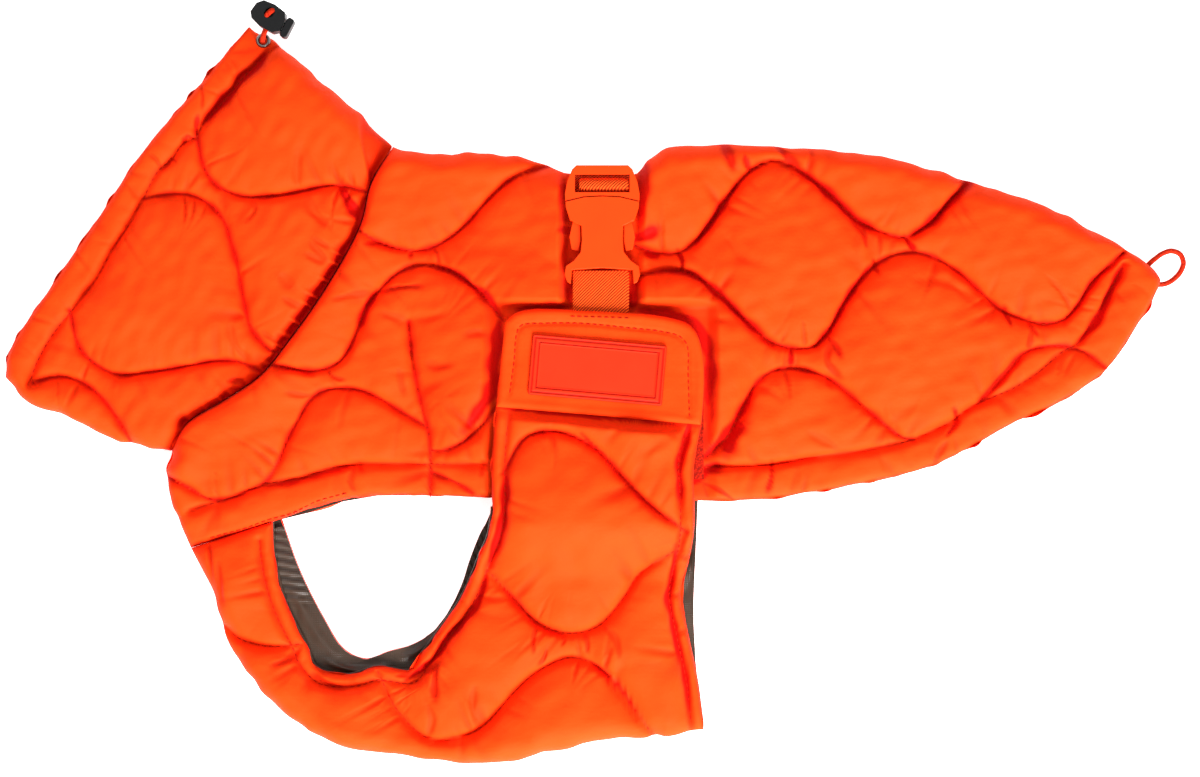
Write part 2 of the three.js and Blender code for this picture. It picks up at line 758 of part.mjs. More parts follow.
const tipTop = nearInside + stitched;
const eyelet = { x: -144.4, y: 160.6, outer: 3.3, inner: 1.7, thick: 1.2 };
const eyeletProfile = [
  [eyelet.inner, 0], [eyelet.outer, 0], [eyelet.outer, 0.5], [eyelet.outer - 0.5, eyelet.thick],
  [eyelet.inner + 0.4, eyelet.thick], [eyelet.inner, 0.7], [eyelet.inner, 0],
].map(([r, h]) => new THREE.Vector2(r, h));
const eyeletMesh = addSolid("eyelet", new THREE.LatheGeometry(eyeletProfile, 24).rotateX(Math.PI / 2),
  colours.eyelet, 0.3);
eyeletMesh.position.set(eyelet.x, eyelet.y, tipTop + layerGap);
eyeletMesh.material.metalness = 0.9;

const lock = { x: -140, y: 169.6, z: tipTop + 2 * layerGap + eyelet.thick, tilt: THREE.MathUtils.degToRad(-28),
  high: 9 };
const lockOutline = [
  [-9.2, -1.6], [-7.4, -4], [-3, -5.4], [3.6, -5.4], [6.3, -3.2], [6.3, 2.2], [4.6, 5.2], [-1, 6.2], [-6.2, 5.6],
  [-8.6, 3],
];
const cordWay = lock.z + 3;
const lockWindow = { x: -140.4, y: 171.9, long: 2.9, wide: 2.1 };
const cordRoute = [
  { x: eyelet.x, y: eyelet.y, z: tipTop + layerGap },
  { x: eyelet.x + 0.1, y: eyelet.y + 0.3, z: cordWay - 1.6 },
  { x: eyelet.x + 0.8, y: eyelet.y + 2.4, z: cordWay },
  { x: -142, y: 167.4, z: cordWay },
  { x: -141, y: 170.2, z: cordWay + 0.8 },
  { x: -140, y: 172.4, z: cordWay + 3 },
];
const windowShape = new THREE.Shape().absellipse(0, 0, lockWindow.long, lockWindow.wide, 0, 1.999 * Math.PI);
const windowCut = slab(windowShape, 30, lock.high - 30 + 2).subtract(slab(windowShape, 30, 1.4 - 30));
const cordCut = toManifold(cordTube(cordRoute, 3.2, 20));
const turned = [0, 0, THREE.MathUtils.radToDeg(lock.tilt)];
const lockSolid = toManifold(plate(lockOutline, lock.high, 0)).rotate(turned)
  .translate([lock.x, lock.y, lock.z])
  .subtract(windowCut.rotate([0, 0, 40]).translate([lockWindow.x, lockWindow.y, lock.z]))
  .subtract(cordCut);
addSolid("cord_lock_body", fromManifold(lockSolid), colours.lock, 0.5);
const buttonShape = roundedRectangle(3.4, 9.4, 1.4);
const buttonMesh = addSolid("cord_lock_button",
  new THREE.ExtrudeGeometry(buttonShape, { depth: lock.high - 2, bevelEnabled: false, curveSegments: 4 }),
  colours.lock, 0.5);
buttonMesh.rotation.z = lock.tilt;
buttonMesh.position.set(8.35, -0.4, 1).applyAxisAngle(new THREE.Vector3(0, 0, 1), lock.tilt);
buttonMesh.position.add(new THREE.Vector3(lock.x, lock.y, lock.z));

const cordSize = 2.3;
addSolid("neck_cord", cordTube(cordRoute, cordSize, 16), colours.cord, 0.7);

addSolid("tail_cord", cordTube([
  { x: 256.2, y: 60.9, z: 6.2 },
  { x: 258.6, y: 63, z: 5.2 },
  { x: 262, y: 65.2, z: 3.4 },
  { x: 266.4, y: 66.4, z: 1.9 },
  { x: 270.4, y: 64.9, z: 1.4 },
  { x: 272, y: 61.2, z: 1.3 },
  { x: 270.6, y: 57, z: 1.4 },
  { x: 267.4, y: 53.6, z: 1.9 },
  { x: 263.6, y: 51.6, z: 3.4 },
  { x: 260.6, y: 51.1, z: 5.4 },
], cordSize, 30), colours.cord, 0.7);

// Origin under the middle of the cloth
const cloth = new THREE.Box3();
for (const mesh of group.children) {
  mesh.updateMatrixWorld();
  if (!mesh.name.includes("cord")) cloth.expandByObject(mesh);
}
const centre = cloth.getCenter(new THREE.Vector3());
group.position.set(-centre.x, -centre.y, -cloth.min.z);

export default group;
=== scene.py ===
"""A quilted dog coat lying on its side: its cloth, stitching, webbing, buckle, badge and cords.

Shapes are drawn in millimetres, +X toward the tail, +Y toward the ridge of the back and +Z up,
with the same origin as the part's drawing. metres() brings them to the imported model's frame.
"""

import math

import bmesh
import bpy
import numpy as np
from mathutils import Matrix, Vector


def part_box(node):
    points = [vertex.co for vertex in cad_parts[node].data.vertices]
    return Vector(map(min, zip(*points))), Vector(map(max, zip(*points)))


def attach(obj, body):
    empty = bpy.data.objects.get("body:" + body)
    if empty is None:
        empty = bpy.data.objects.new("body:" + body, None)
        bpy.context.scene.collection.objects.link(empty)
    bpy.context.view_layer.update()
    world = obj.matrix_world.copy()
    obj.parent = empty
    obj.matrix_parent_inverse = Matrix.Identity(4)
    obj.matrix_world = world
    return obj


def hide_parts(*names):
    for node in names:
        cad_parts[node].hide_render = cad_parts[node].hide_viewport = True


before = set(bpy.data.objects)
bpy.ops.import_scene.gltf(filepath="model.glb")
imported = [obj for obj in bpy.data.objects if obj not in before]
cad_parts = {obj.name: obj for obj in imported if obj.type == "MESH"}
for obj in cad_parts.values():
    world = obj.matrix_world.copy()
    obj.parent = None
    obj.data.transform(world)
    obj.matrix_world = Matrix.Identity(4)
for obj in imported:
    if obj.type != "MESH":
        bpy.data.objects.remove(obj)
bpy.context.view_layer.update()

SHIFT = np.array([0.73, -0.64, 0.0])  # from the drawing's origin to the model's

# Heights and sizes of the cloth, as in the part
FAR_WALL = 5.5
NEAR_INSIDE = 8.2
MIDDLE = 6.85
STITCHED = 3.0
PUFF = 13.0
FOLD_RADIUS = 10.0
FOLD_WALL = 4.0
BINDING = 6.0
FAR_FLAP = 4.0
FLAP_INSIDE = 21.0
SEAM_GAP = 0.6
LAYER_GAP = 0.35
TIP_TOP = NEAR_INSIDE + STITCHED
PILLOW_REACH = 22.0  # how far from a stitch line the filling still swells the cloth


def metres(points):
    return (np.asarray(points, float) + SHIFT) * 0.001


# Camera: straight above the coat, with the frame 540 mm wide at the height of the cloth

camera = bpy.data.objects.new("camera", bpy.data.cameras.new("camera"))
camera.data.lens = 85
camera.data.sensor_width = 36
camera.location = (0.00793, 0.00341, 1.287)
bpy.context.scene.collection.objects.link(camera)
bpy.context.scene.camera = camera
bpy.context.scene.view_settings.view_transform = "Standard"


# Meshes from grids of points


def quads(grid, around=False):
    """Faces between the neighbours of a grid of point numbers, whose first way may close."""
    if around:
        grid = np.vstack([grid, grid[:1]])
    corners = [grid[:-1, :-1], grid[:-1, 1:], grid[1:, 1:], grid[1:, :-1]]
    return np.stack([c.ravel() for c in corners], axis=1)


def fans(fine, coarse):
    """Triangles between a fine row of point numbers and a coarse one with the same ends."""
    step = (len(fine) - 1) // (len(coarse) - 1)
    j = np.arange(len(fine) - 1)
    owner = coarse[(j + step // 2) // step]
    small = np.stack([fine[:-1], owner, fine[1:]], axis=1)
    middle = fine[np.arange(len(coarse) - 1) * step + (step + 1) // 2]
    return np.vstack([small, np.stack([coarse[:-1], coarse[1:], middle], axis=1)])


def solid(name, points, parts, materials, values=None, sharp=60.0):
    """A piece from points in millimetres and parts of faces, each part with its material."""
    mesh = bpy.data.meshes.new(name)
    loops = np.concatenate([faces.ravel() for faces, _ in parts])
    sizes = np.concatenate([np.full(len(faces), faces.shape[1]) for faces, _ in parts])
    kinds = np.concatenate([np.full(len(faces), kind) for faces, kind in parts])
    mesh.vertices.add(len(points))
    mesh.vertices.foreach_set("co", metres(points).ravel())
    mesh.loops.add(len(loops))
    mesh.loops.foreach_set("vertex_index", loops.astype(np.int32))
    mesh.polygons.add(len(sizes))
    mesh.polygons.foreach_set("loop_start", (np.cumsum(sizes) - sizes).astype(np.int32))
    mesh.polygons.foreach_set("material_index", kinds.astype(np.int32))
    mesh.update(calc_edges=True)
    mesh.validate()
    for key, value in (values or {}).items():
        mesh.attributes.new(key, "FLOAT", "POINT").data.foreach_set("value", value.ravel())
    work = bmesh.new()
    work.from_mesh(mesh)
    bmesh.ops.recalc_face_normals(work, faces=work.faces)
    work.to_mesh(mesh)
    work.free()
    mesh.polygons.foreach_set("use_smooth", np.ones(len(mesh.polygons), bool))
    mesh.set_sharp_from_angle(angle=math.radians(sharp))
    for material in materials:
        mesh.materials.append(material)
    made = bpy.data.objects.new(name, mesh)
    bpy.context.scene.collection.objects.link(made)
    return made


def two_faced(name, top, bottom, material, values=None, sharp=60.0):
    """A closed sheet between two grids of points of one size, with walls along all four sides."""
    rows, columns = top.shape[:2]
    upper = np.arange(rows * columns).reshape(rows, columns)
    lower = upper + rows * columns
    walls = []
    for a, b in ((upper[0], lower[0]), (upper[-1], lower[-1]), (upper[:, 0], lower[:, 0]),
                 (upper[:, -1], lower[:, -1])):
        walls.append(quads(np.stack([a, b])))
    points = np.concatenate([top.reshape(-1, 3), bottom.reshape(-1, 3)])
    faces = np.vstack([quads(upper), quads(lower)[:, ::-1], *walls])
    if values:
        values = {key: np.concatenate([value.ravel(), np.zeros(rows * columns)]) for key, value in values.items()}
    return solid(name, points, [(faces, 0)], [material], values, sharp)


def along_path(name, path, section, material, side=(0, 0, 1), sharp=60.0):
    """A closed section carried along a path: its first number goes square to side and path, its
    second toward side, and both ends are closed by a fan."""
    path = np.asarray(path, float)
    way = np.gradient(path, axis=0)
    way /= np.linalg.norm(way, axis=1, keepdims=True)
    across = np.cross(way, side)
    across /= np.linalg.norm(across, axis=1, keepdims=True)
    up = np.cross(across, way)
    ring = path[:, None] + across[:, None] * section[None, :, :1] + up[:, None] * section[None, :, 1:]
    count = len(section)
    numbers = np.arange(ring.shape[0] * count).reshape(ring.shape[0], count).T
    points = np.concatenate([ring.reshape(-1, 3), path[:1], path[-1:]])
    ends = []
    for row, centre in ((numbers[:, 0], len(points) - 2), (numbers[:, -1], len(points) - 1)):
        ends.append(np.stack([row, np.roll(row, -1), np.full(count, centre)], axis=1))
    return solid(name, points, [(quads(numbers, around=True), 0), (np.vstack(ends), 0)], [material], None, sharp)


# Curves and surfaces in plan


def smooth(value, start, end):
    t = np.clip((value - start) / (end - start), 0, 1)
    return t * t * (3 - 2 * t)


def catmull_rom(points, t):
    """Centripetal Catmull-Rom curve at shares t of its spans: a cubic between two neighbours
    whose end slopes weigh the steps before, between and after them by the root of their length."""
    p = np.asarray(points, float)
    p = np.vstack([2 * p[0] - p[1], p, 2 * p[-1] - p[-2]])
    spans = len(p) - 3
    at = np.clip(np.asarray(t, float) * spans, 0, spans)
    n = np.minimum(at.astype(int), spans - 1)
    w = (at - n)[..., None]
    a, b, c, d = (p[n + k] for k in range(4))
    ab, bc, cd = (np.sqrt(np.linalg.norm(q - r, axis=-1, keepdims=True)) for q, r in ((a, b), (b, c), (c, d)))
    leave = ((b - a) / ab - (c - a) / (ab + bc) + (c - b) / bc) * bc
    reach = ((c - b) / bc - (d - b) / (bc + cd) + (d - c) / cd) * bc
    return b + leave * w + (3 * (c - b) - 2 * leave - reach) * w**2 + (2 * (b - c) + leave + reach) * w**3


def evenly(points, spacing=None, count=None):
    """Places along the smooth curve through points, evenly spaced along its length."""
    t = np.linspace(0, 1, 40 * (len(points) - 1) + 1)
    fine = catmull_rom(points, t)
    run = np.concatenate([[0], np.cumsum(np.linalg.norm(np.diff(fine, axis=0), axis=1))])
    count = count or max(2, int(run[-1] / spacing) + 1)
    at = np.linspace(0, run[-1], count)
    return np.stack([np.interp(at, run, fine[:, k]) for k in range(fine.shape[1])], axis=1)


class Edge:
    """A smooth curve through points, read at shares of its length."""

    def __init__(self, points):
        t = np.linspace(0, 1, 201)
        fine = catmull_rom(points, t)
        run = np.concatenate([[0], np.cumsum(np.linalg.norm(np.diff(fine, axis=0), axis=1))])
        self.shares = np.linspace(0, 1, 1201)
        self.places = catmull_rom(points, np.interp(self.shares * run[-1], run, t))

    def at(self, share):
        return np.stack([np.interp(share, self.shares, self.places[:, k]) for k in range(2)], axis=-1)


def coons(start, end, first, last):
    """Surface between four curves: the blend of start and end plus that of first and last, less
    the blend of the four corners. u runs along start and end, v along first and last."""
    corner = [start.at(0.0), start.at(1.0), end.at(0.0), end.at(1.0)]

    def at(u, v):
        u, v = np.broadcast_arrays(u, v)
        a, b = u[..., None], v[..., None]
        sides = (1 - b) * start.at(u) + b * end.at(u) + (1 - a) * first.at(v) + a * last.at(v)
        return sides - (1 - a) * ((1 - b) * corner[0] + b * corner[2]) - a * ((1 - b) * corner[1] + b * corner[3])

    return at


RIM = [(-151, 167), (-170, 144.2), (-199, 110), (-219, 80), (-240, 49.6), (-258.5, 21), (-261, 9.5)]
NAPE = [(-151, 167), (-137, 158.6), (-123, 147), (-104, 130), (-86.4, 112.8)]
THROAT = [(-261, 9.5), (-252, -1), (-232, -9.5), (-210, -19.8), (-186, -24)]
SEAM = [(-86.4, 112.8), (-96, 96), (-100.5, 78), (-117, 48), (-134, 24), (-146, 9.5), (-163, -2), (-179, -12),
        (-186, -24)]
RIDGE = [(-86.4, 112.8), (-72, 110), (-40, 109.8), (-18, 105.2), (-8, 101), (7, 100.5), (24, 100.9), (29, 107.5),
         (38, 112.6), (60, 114), (100, 112.4), (135, 108.6), (177, 96.8), (215, 83.2), (240, 69.5), (255, 60.3)]
CHEST = [(-186, -24), (-188.3, -38), (-184, -53), (-177.6, -67.9)]
# The last number is how far the far half hangs out below the near one
HEM = [(255, 60.3, 0), (260, 53.3, 0), (256, 43, 0), (247, 28.5, 0), (235, 12, 0), (219, 0.4, 0), (190, -13.5, 0),
       (158, -30.5, 0), (120, -39.8, 0), (82, -45.6, 0), (50, -46.2, 0), (0, -44.8, 0), (-41, -44.8, 0),
       (-98.5, -44.6, 0.4), (-120, -49, 2.2), (-140.4, -56, 0), (-177.6, -67.9, 0)]
BELLY_FOLD = [(-177.6, -67.9), (-168, -87), (-159, -113), (-140, -138), (-112, -156.5), (-85, -161),
              (-50, -165.5), (-34, -164), (-24, -162.4), (-16.4, -159.4), (-7.6, -158.3), (1.1, -155.8),
              (13.8, -154), (26.5, -153.6), (32.4, -152.1), (37.3, -152.6), (48, -150.3), (54, -149.6)]
NEAR_LEG = [(-140.4, -56), (-139.5, -72), (-134.5, -92), (-124.8, -112), (-120.5, -121.2), (-106.5, -124.6),
            (-93, -121), (-78, -122.4), (-74, -115.8), (-70.1, -110.9), (-62.3, -100.1), (-56.4, -91.4),
            (-52, -82.6), (-47.2, -70.9), (-43.3, -62), (-41.4, -52), (-41.2, -28), (-38.3, 5.6), (-35.6, 34)]
FAR_LEG = [(-137.2, -55), (-129, -78), (-118, -100), (-109, -114), (-99, -118.4), (-88.7, -115), (-78.9, -112.3),
           (-70, -107.3), (-64.3, -101.1), (-59.4, -93.3), (-55, -83.6), (-52.5, -75.7), (-49.6, -67.9),
           (-46.7, -61.1), (-43.3, -55), (-41, -46), (-40, -28), (-37, 6), (-35, 34)]
FLAP_TOP = [(53, 20), (48.5, 31.5), (38, 35.8), (0, 39.2), (-29, 38.6)]
NEAR_REAR = [(54, -149.6), (51.8, -129.4), (46.8, -105.5), (43.8, -88), (47.2, -73), (49.1, -60), (49.4, -48),
             (48.8, -35), (49.4, -27), (51, -19), (52.8, -8), *FLAP_TOP, (-35.6, 34)]
FAR_REAR = [(54, -149.6), (50.5, -120), (49.5, -95), (50.5, -70), (51.5, -46), (52.8, -10), *FLAP_TOP, (-35, 34)]

NEAR_HEM = [(x, y) for x, y, _ in HEM]
FAR_HEM = [(x, y - drop) for x, y, drop in HEM]

NECK_WAY = np.array([math.cos(math.radians(-33)), math.sin(math.radians(-33))])
BELLY_SHIFT = np.array([0.305, -0.952]) * 0.1

seam = Edge(SEAM)
seam_line = evenly(SEAM, spacing=4.0)
collar_plan = coons(Edge(RIM), seam, Edge(NAPE), Edge(THROAT))
front = SEAM + CHEST[1:]


def back_plan(hem):
    """Back panel in plan: u runs from the ridge to the hem, v from the neck and chest to the tail."""
    way_round = evenly(hem, spacing=1.0)
    tail = np.linalg.norm(way_round - np.array(hem[1]), axis=1).argmin()
    along = evenly(front, spacing=1.0)
    return coons(Edge(front), Edge([hem[0], hem[1]]), Edge(RIDGE), Edge(way_round[:tail - 1:-3]))


back_plans = [back_plan(NEAR_HEM), back_plan(FAR_HEM)]
belly_fold = Edge(BELLY_FOLD)


def belly_plan(leg, rear):
    """Belly panel in plan: straight ways from the fold to the leg edge, which over their last half
    are drawn toward the rear edge."""
    def at(u, v):
        u, v = np.broadcast_arrays(u, v)
        a = u[..., None]
        last = np.ones_like(u)
        way = (1 - a) * belly_fold.at(v) + a * leg.at(v)
        end = (1 - a) * belly_fold.at(last) + a * leg.at(last)
        return way + smooth(v, 0.5, 1)[..., None] * (rear.at(u) - end)
    return at


belly_plans = [belly_plan(Edge(NEAR_LEG), Edge(NEAR_REAR)), belly_plan(Edge(FAR_LEG), Edge(FAR_REAR))]


# Stitch lines, as they run over the near half

BACK_WAVES = [
    [(23, 68), (33, 65), (43, 65), (50, 70), (56, 77), (64, 89), (74, 101), (84, 106), (95, 103), (111, 91),
     (124, 79), (138, 73), (144, 72), (156, 78), (165, 89), (178, 101)],
    [(24, 54), (31, 56), (43, 57), (49, 55), (61, 46), (73, 34), (84, 25), (95, 22), (104, 23), (111, 31), (117, 42),
     (128, 56), (135, 62), (145, 65), (155, 64), (169, 56), (179, 47), (188, 39), (198, 35), (207, 33), (216, 35),
     (222, 41), (229, 52), (238, 61), (243, 65)],
    [(55, -27), (64, -18), (69, -9), (75, 3), (83, 11), (93, 13), (104, 11), (111, 8), (128, -6), (143, -18),
     (148, -19)],
    [(178, -2), (188, 10), (198, 20), (208, 23), (216, 23), (226, 20), (235, 13)],
    [(-101, 75), (-93, 70), (-84, 67), (-75, 66), (-67, 68), (-56, 75), (-40, 92), (-31, 99), (-17, 104), (-8, 106)],
    [(-142, 15), (-132, 13), (-122, 12), (-116, 13), (-110, 16), (-105, 23), (-101, 33), (-98, 41), (-93, 47),
     (-85, 55), (-76, 59), (-68, 59), (-59, 56), (-51, 51), (-45, 45), (-36, 34)],
    [(-187, -36), (-179, -40), (-168, -46), (-158, -45), (-149, -41), (-144, -39), (-138, -30), (-133, -18),
     (-129, -11), (-123, -1), (-117, 3), (-108, 4), (-100, 3), (-91, -1), (-83, -6), (-71, -13)],
    [(-69, -24), (-63, -24), (-54, -20), (-47, -14), (-38, -3)],
    [(-68, -34), (-60, -37), (-54, -40), (-50, -43)],
]
DART = [(-79, 34), (-77, 16), (-72, -8), (-70, -15), (-69, -25), (-69, -44)]
HEM_CASING = [
    [(-177, -51), (-168, -48), (-158, -45), (-149, -41), (-144, -39), (-127, -36), (-115, -32), (-102, -30),
     (-87, -30), (-70, -30), (-42, -30)],
    [(54, -31), (67, -31), (85, -30), (104, -27), (126, -24), (148, -19), (157, -15), (165, -11), (173, -5),
     (179, -2), (193, 4), (204, 11), (216, 21), (222, 24), (229, 35), (237, 48), (243, 60)],
]
HEM_TOPSTITCH = [(-168, -63), (-153, -59), (-142, -55), (-131, -52), (-121, -47), (-107, -43)]
COLLAR_WAVES = [
    [(-174, 120), (-173, 113), (-171, 104), (-166, 96), (-159, 92), (-152, 90), (-142, 90), (-133, 91), (-124, 93),
     (-114, 95), (-109, 95), (-104, 94), (-97, 92)],
    [(-198, 89), (-186, 91), (-178, 91), (-172, 89), (-166, 85), (-161, 78), (-159, 71), (-156, 61), (-154, 50),
     (-152, 40), (-150, 32), (-145, 25), (-141, 21), (-137, 20)],
    [(-231, 39), (-226, 21), (-210, 10), (-195, 11), (-188, 12), (-177, 14), (-166, 16), (-156, 16), (-150, 14),
     (-145, 11)],
    [(-248, 6), (-234, 9), (-220, 3), (-207, -14), (-204, -20)],
]
RIM_CASING = [(-138, 158), (-145, 152), (-154, 143), (-162, 133), (-171, 123), (-174, 117), (-180, 114), (-185, 107),
              (-191, 102), (-198, 89), (-204, 78), (-213, 64), (-219, 53), (-229, 40), (-238, 29), (-246, 15),
              (-249, 6)]
BELLY_WAVES = [
    [(-36, -34), (-26, -18), (-14, -15), (-3, -18), (9, -26), (19, -37), (31, -49), (46, -60)],
]
BELLY_FAINT = [
    [(-162, -103), (-156, -108), (-148, -111), (-140, -112), (-127, -111)],
    [(-44, -77), (-31, -91), (-21, -101), (-7, -106), (6, -103), (18, -90), (25, -79), (40, -69)],
    [(-93, -123), (-84, -141), (-71, -153), (-62, -154), (-47, -149), (-31, -132), (-22, -124), (-7, -117),
     (3, -119), (13, -127), (21, -138), (31, -152)],
]


def within(value, low, high, soft):
    return smooth(value, low - soft, low) * (1 - smooth(value, high, high + soft))


def rounded(distance, reach):
    """Quarter round: the root of 1 less the square of the share of the reach that is left."""
    left = 1 - np.clip(distance / reach, 0, 1)
    return np.sqrt(1 - left * left)


def lift_under_back(x, y):
    """Rise of the back over the far flap and over the strap below it."""
    over_flap = (FAR_FLAP + 0.8) * within(x, -50, 62, 34) * within(y, -80, 47, 24)
    over_strap = 2.8 * within(x, -8, 23, 18) * smooth(y, 20, 40)
    return np.maximum(over_flap, over_strap)


def left_under_load(x, y):
    """Share of its puff that the near back keeps under the near flap and the buckle."""
    flap = within(x, -40, 55, 6) * within(y, -80, 39.5, 5)
    buckle = within(x, -7, 23, 5) * smooth(y, 36, 48)
    return (1 - 0.82 * flap) * (1 - 0.92 * buckle)


def flap_share(x, y):
    return smooth(y, -84, -54) * smooth(x, -66, -50)


def faced_share(x, y):
    return smooth(y, -13.5 - 0.09 * x, -8 - 0.09 * x) * flap_share(x, y)


def nearest(xy, line):
    """Distance from each point to a line of short straight steps, the run along it there, and
    its side of the line, 1 on the left and 0 on the right."""
    start, step = line[:-1], np.diff(line, axis=0)
    square = (step**2).sum(1)
    run = np.concatenate([[0], np.cumsum(np.sqrt(square))])
    best = np.empty((3, len(xy)))
    for first in range(0, len(xy), 20000):
        part = xy[first:first + 20000]
        dot = part @ step.T - (start * step).sum(1)
        share = np.clip(dot / square, 0, 1)
        away = (part**2).sum(1)[:, None] - 2 * part @ start.T + (start**2).sum(1)
        away = away - 2 * share * dot + share**2 * square
        pick = away.argmin(1)
        row = np.arange(len(part))
        best[0, first:first + len(part)] = np.sqrt(np.maximum(away[row, pick], 0))
        best[1, first:first + len(part)] = run[pick] + share[row, pick] * np.sqrt(square[pick])
        off = part - start[pick]
        best[2, first:first + len(part)] = step[pick, 0] * off[:, 1] > step[pick, 1] * off[:, 0]
    return best


def sampled(raster, low, step, xy):
    """Value of a raster between its points, blended from the four around."""
    at = (xy - low) / step
    at = np.clip(at, 0, np.array(raster.shape) - 1.001)
    n = at.astype(int)
    w = at - n
    i, j = n[..., 0], n[..., 1]
    a, b = w[..., 0], w[..., 1]
    upper = raster[i, j + 1] * (1 - a) + raster[i + 1, j + 1] * a
    return (raster[i, j] * (1 - a) + raster[i + 1, j] * a) * (1 - b) + upper * b


def blown(lines):
    """Swelling between stitch lines: each place of a raster is again and again the mean of its
    four neighbours plus a small push, less a pull back over the filling's reach; 0 on the lines."""
    everything = np.vstack(lines)
    low, high = everything.min(0) - 30, everything.max(0) + 30
    rise = None
    for step in (6.0, 3.0, 1.5):
        size = ((high - low) / step).astype(int) + 2
        grid = low + step * np.stack(np.meshgrid(*map(np.arange, size), indexing="ij"), axis=-1)
        rise = np.zeros(size) if rise is None else sampled(rise, low, 2 * step, grid)
        held = np.zeros(size, bool)
        for line in lines:
            fine = np.concatenate([line[:-1] + np.diff(line, axis=0) * k / 12 for k in range(12)])
            i, j = ((fine - low) / step + 0.5).astype(int).T
            held[i, j] = True
        push = (step / PILLOW_REACH) ** 2
        for _ in range(160):
            edge = np.pad(rise, 1)
            rise = (edge[2:, 1:-1] + edge[:-2, 1:-1] + edge[1:-1, 2:] + edge[1:-1, :-2] + push) / (4 + push)
            rise[held] = 0
    for _ in range(2):
        edge = np.pad(rise, 1, mode="edge")
        rise = (4 * rise + edge[2:, 1:-1] + edge[:-2, 1:-1] + edge[1:-1, 2:] + edge[1:-1, :-2]) / 8
    return rise, low, step


def pleats(distance, run, side, seed):
    """Depth of the puckers that run out from a stitch line: at uneven steps of about 7 mm lies a
    valley of its own depth, width and reach, slightly aslant, which widens as it fades."""
    dice = np.random.default_rng(seed)
    count = int(run.max() / 7) + 6
    deep = 2.3 * dice.uniform(0, 1, (2, count)) ** 2.2
    deep[:, [0, 1]] = 0
    wide, reach = dice.uniform(1.0, 2.1, (2, count)), dice.uniform(5, 18, (2, count))
    bunch = 0.45 + 0.55 * np.cos(run / dice.uniform(6, 11) + dice.uniform(0, 6))
    place = run + 0.4 * distance * np.sin(run / 14 + dice.uniform(0, 6))
    warped = place / 7.2 + 0.3 * np.sin(place / 6.1 + dice.uniform(0, 6)) + 1
    n = np.clip(np.floor(warped), 0, count - 1).astype(int)
    share = np.clip(warped - n, 0, 1) - 0.5
    pick = (side.astype(int), n)
    valley = np.exp(-(7.2 * share / (wide[pick] * (1 + distance / 14))) ** 2) * np.cos(np.pi * share) ** 2
    return deep[pick] * bunch * valley * np.exp(-(distance / reach[pick]) ** 2) * (1 - np.exp(-(distance / 1.3) ** 2))


def uneven(run, seed):
    """Uneven value from -1 to 1 along a line: the mean of two waves of about 12 and 22 mm."""
    return 0.5 * np.sin(run / 1.9 + 2.3 * seed) + 0.5 * np.sin(run / 3.4 + 4.1 * seed)


def ripples(xy, size, seed, count=14):
    """Unevenness of about one size: the mean of seeded waves in all directions."""
    dice = np.random.default_rng(seed)
    angle, phase = dice.uniform(0, 2 * np.pi, (2, count))
    long = size * dice.uniform(0.7, 1.6, count)
    ways = 2 * np.pi * np.stack([np.cos(angle), np.sin(angle)]) / long
    total = np.zeros(xy.shape[:-1])
    for k in range(count):
        total += np.cos(xy @ ways[:, k] + phase[k])
    return total / math.sqrt(count)


class Quilt:
    """Quilting of one panel: its stitch lines, the edges that hold it down and its puckers."""

    def __init__(self, stitched, faint, held, seed, folds):
        self.stitched = [evenly(line, spacing=4.0) for line in [*stitched, *faint]]
        self.deep = len(stitched)
        self.held = [evenly(line, spacing=4.0) for line in held]
        self.seed = seed
        self.folds = folds
        self.blown = blown(self.stitched + self.held)

    def relief(self, xy):
        """Rise over the stitched cloth, and the painted shade of each point, 0 to 1: a deeper red where shade falls
        along stitch lines, in puckers and in folds.
        """
        close = np.full(len(xy), 99.0)
        puckers = np.zeros(len(xy))
        red = np.zeros(len(xy))
        for number, line in enumerate(self.stitched + self.held):
            distance, run, side = nearest(xy, line)
            close = np.minimum(close, distance)
            puckers = np.maximum(puckers, pleats(distance, run, side, self.seed + number))
            # Painted shade along each stitch line, half as dark along faint lines.
            level = 1.0 if number < self.deep else 0.5
            red = np.maximum(red, level * np.exp(-(distance / (1.25 + 0.55 * uneven(run, number))) ** 2))
        swell = np.maximum(sampled(*self.blown, xy), 0) ** 0.4
        pull = np.sqrt(1 - np.exp(-(close / 1.7) ** 2))
        soft = 0.6 * ripples(xy, 30, self.seed + 70) + 0.25 * ripples(xy, 10, self.seed + 71)
        room = np.clip(3.2 * swell, 0, 1)
        rise = PUFF * swell * pull + (soft * pull - puckers) * room
        # Painted shade in the puckers as well.
        painted_shade = np.maximum(red, 0.3 * puckers * room)
        for number, (deep, wide, shade_strength, places) in enumerate(self.folds):
            line = evenly(places, spacing=2.0)
            near = ((xy > line.min(0) - 4 * wide) & (xy < line.max(0) + 4 * wide)).all(1)
            if not near.any():
                continue
            distance, run, _ = nearest(xy[near], line)
            full = np.linalg.norm(np.diff(line, axis=0), axis=1).sum()
            ends = np.sin(np.pi * np.clip(run / full, 0.02, 0.98)) ** 0.4
            cut = ends * np.exp(-(distance / (wide * (1 + 0.3 * uneven(run, self.seed + number)))) ** 2)
            rise[near] -= deep * cut
            # Painted shade along each fold, as strong as its shade strength says.
            painted_shade[near] = np.maximum(painted_shade[near], shade_strength * np.minimum(2.2 * cut, 1))
        return np.maximum(rise, -1.6), painted_shade


def offset(points, distance):
    """The line at a distance to the left of a smooth curve through points."""
    line = evenly(points, spacing=2.0)
    way = np.gradient(line, axis=0)
    way /= np.linalg.norm(way, axis=1, keepdims=True)
    return line + distance * np.stack([-way[:, 1], way[:, 0]], axis=1)
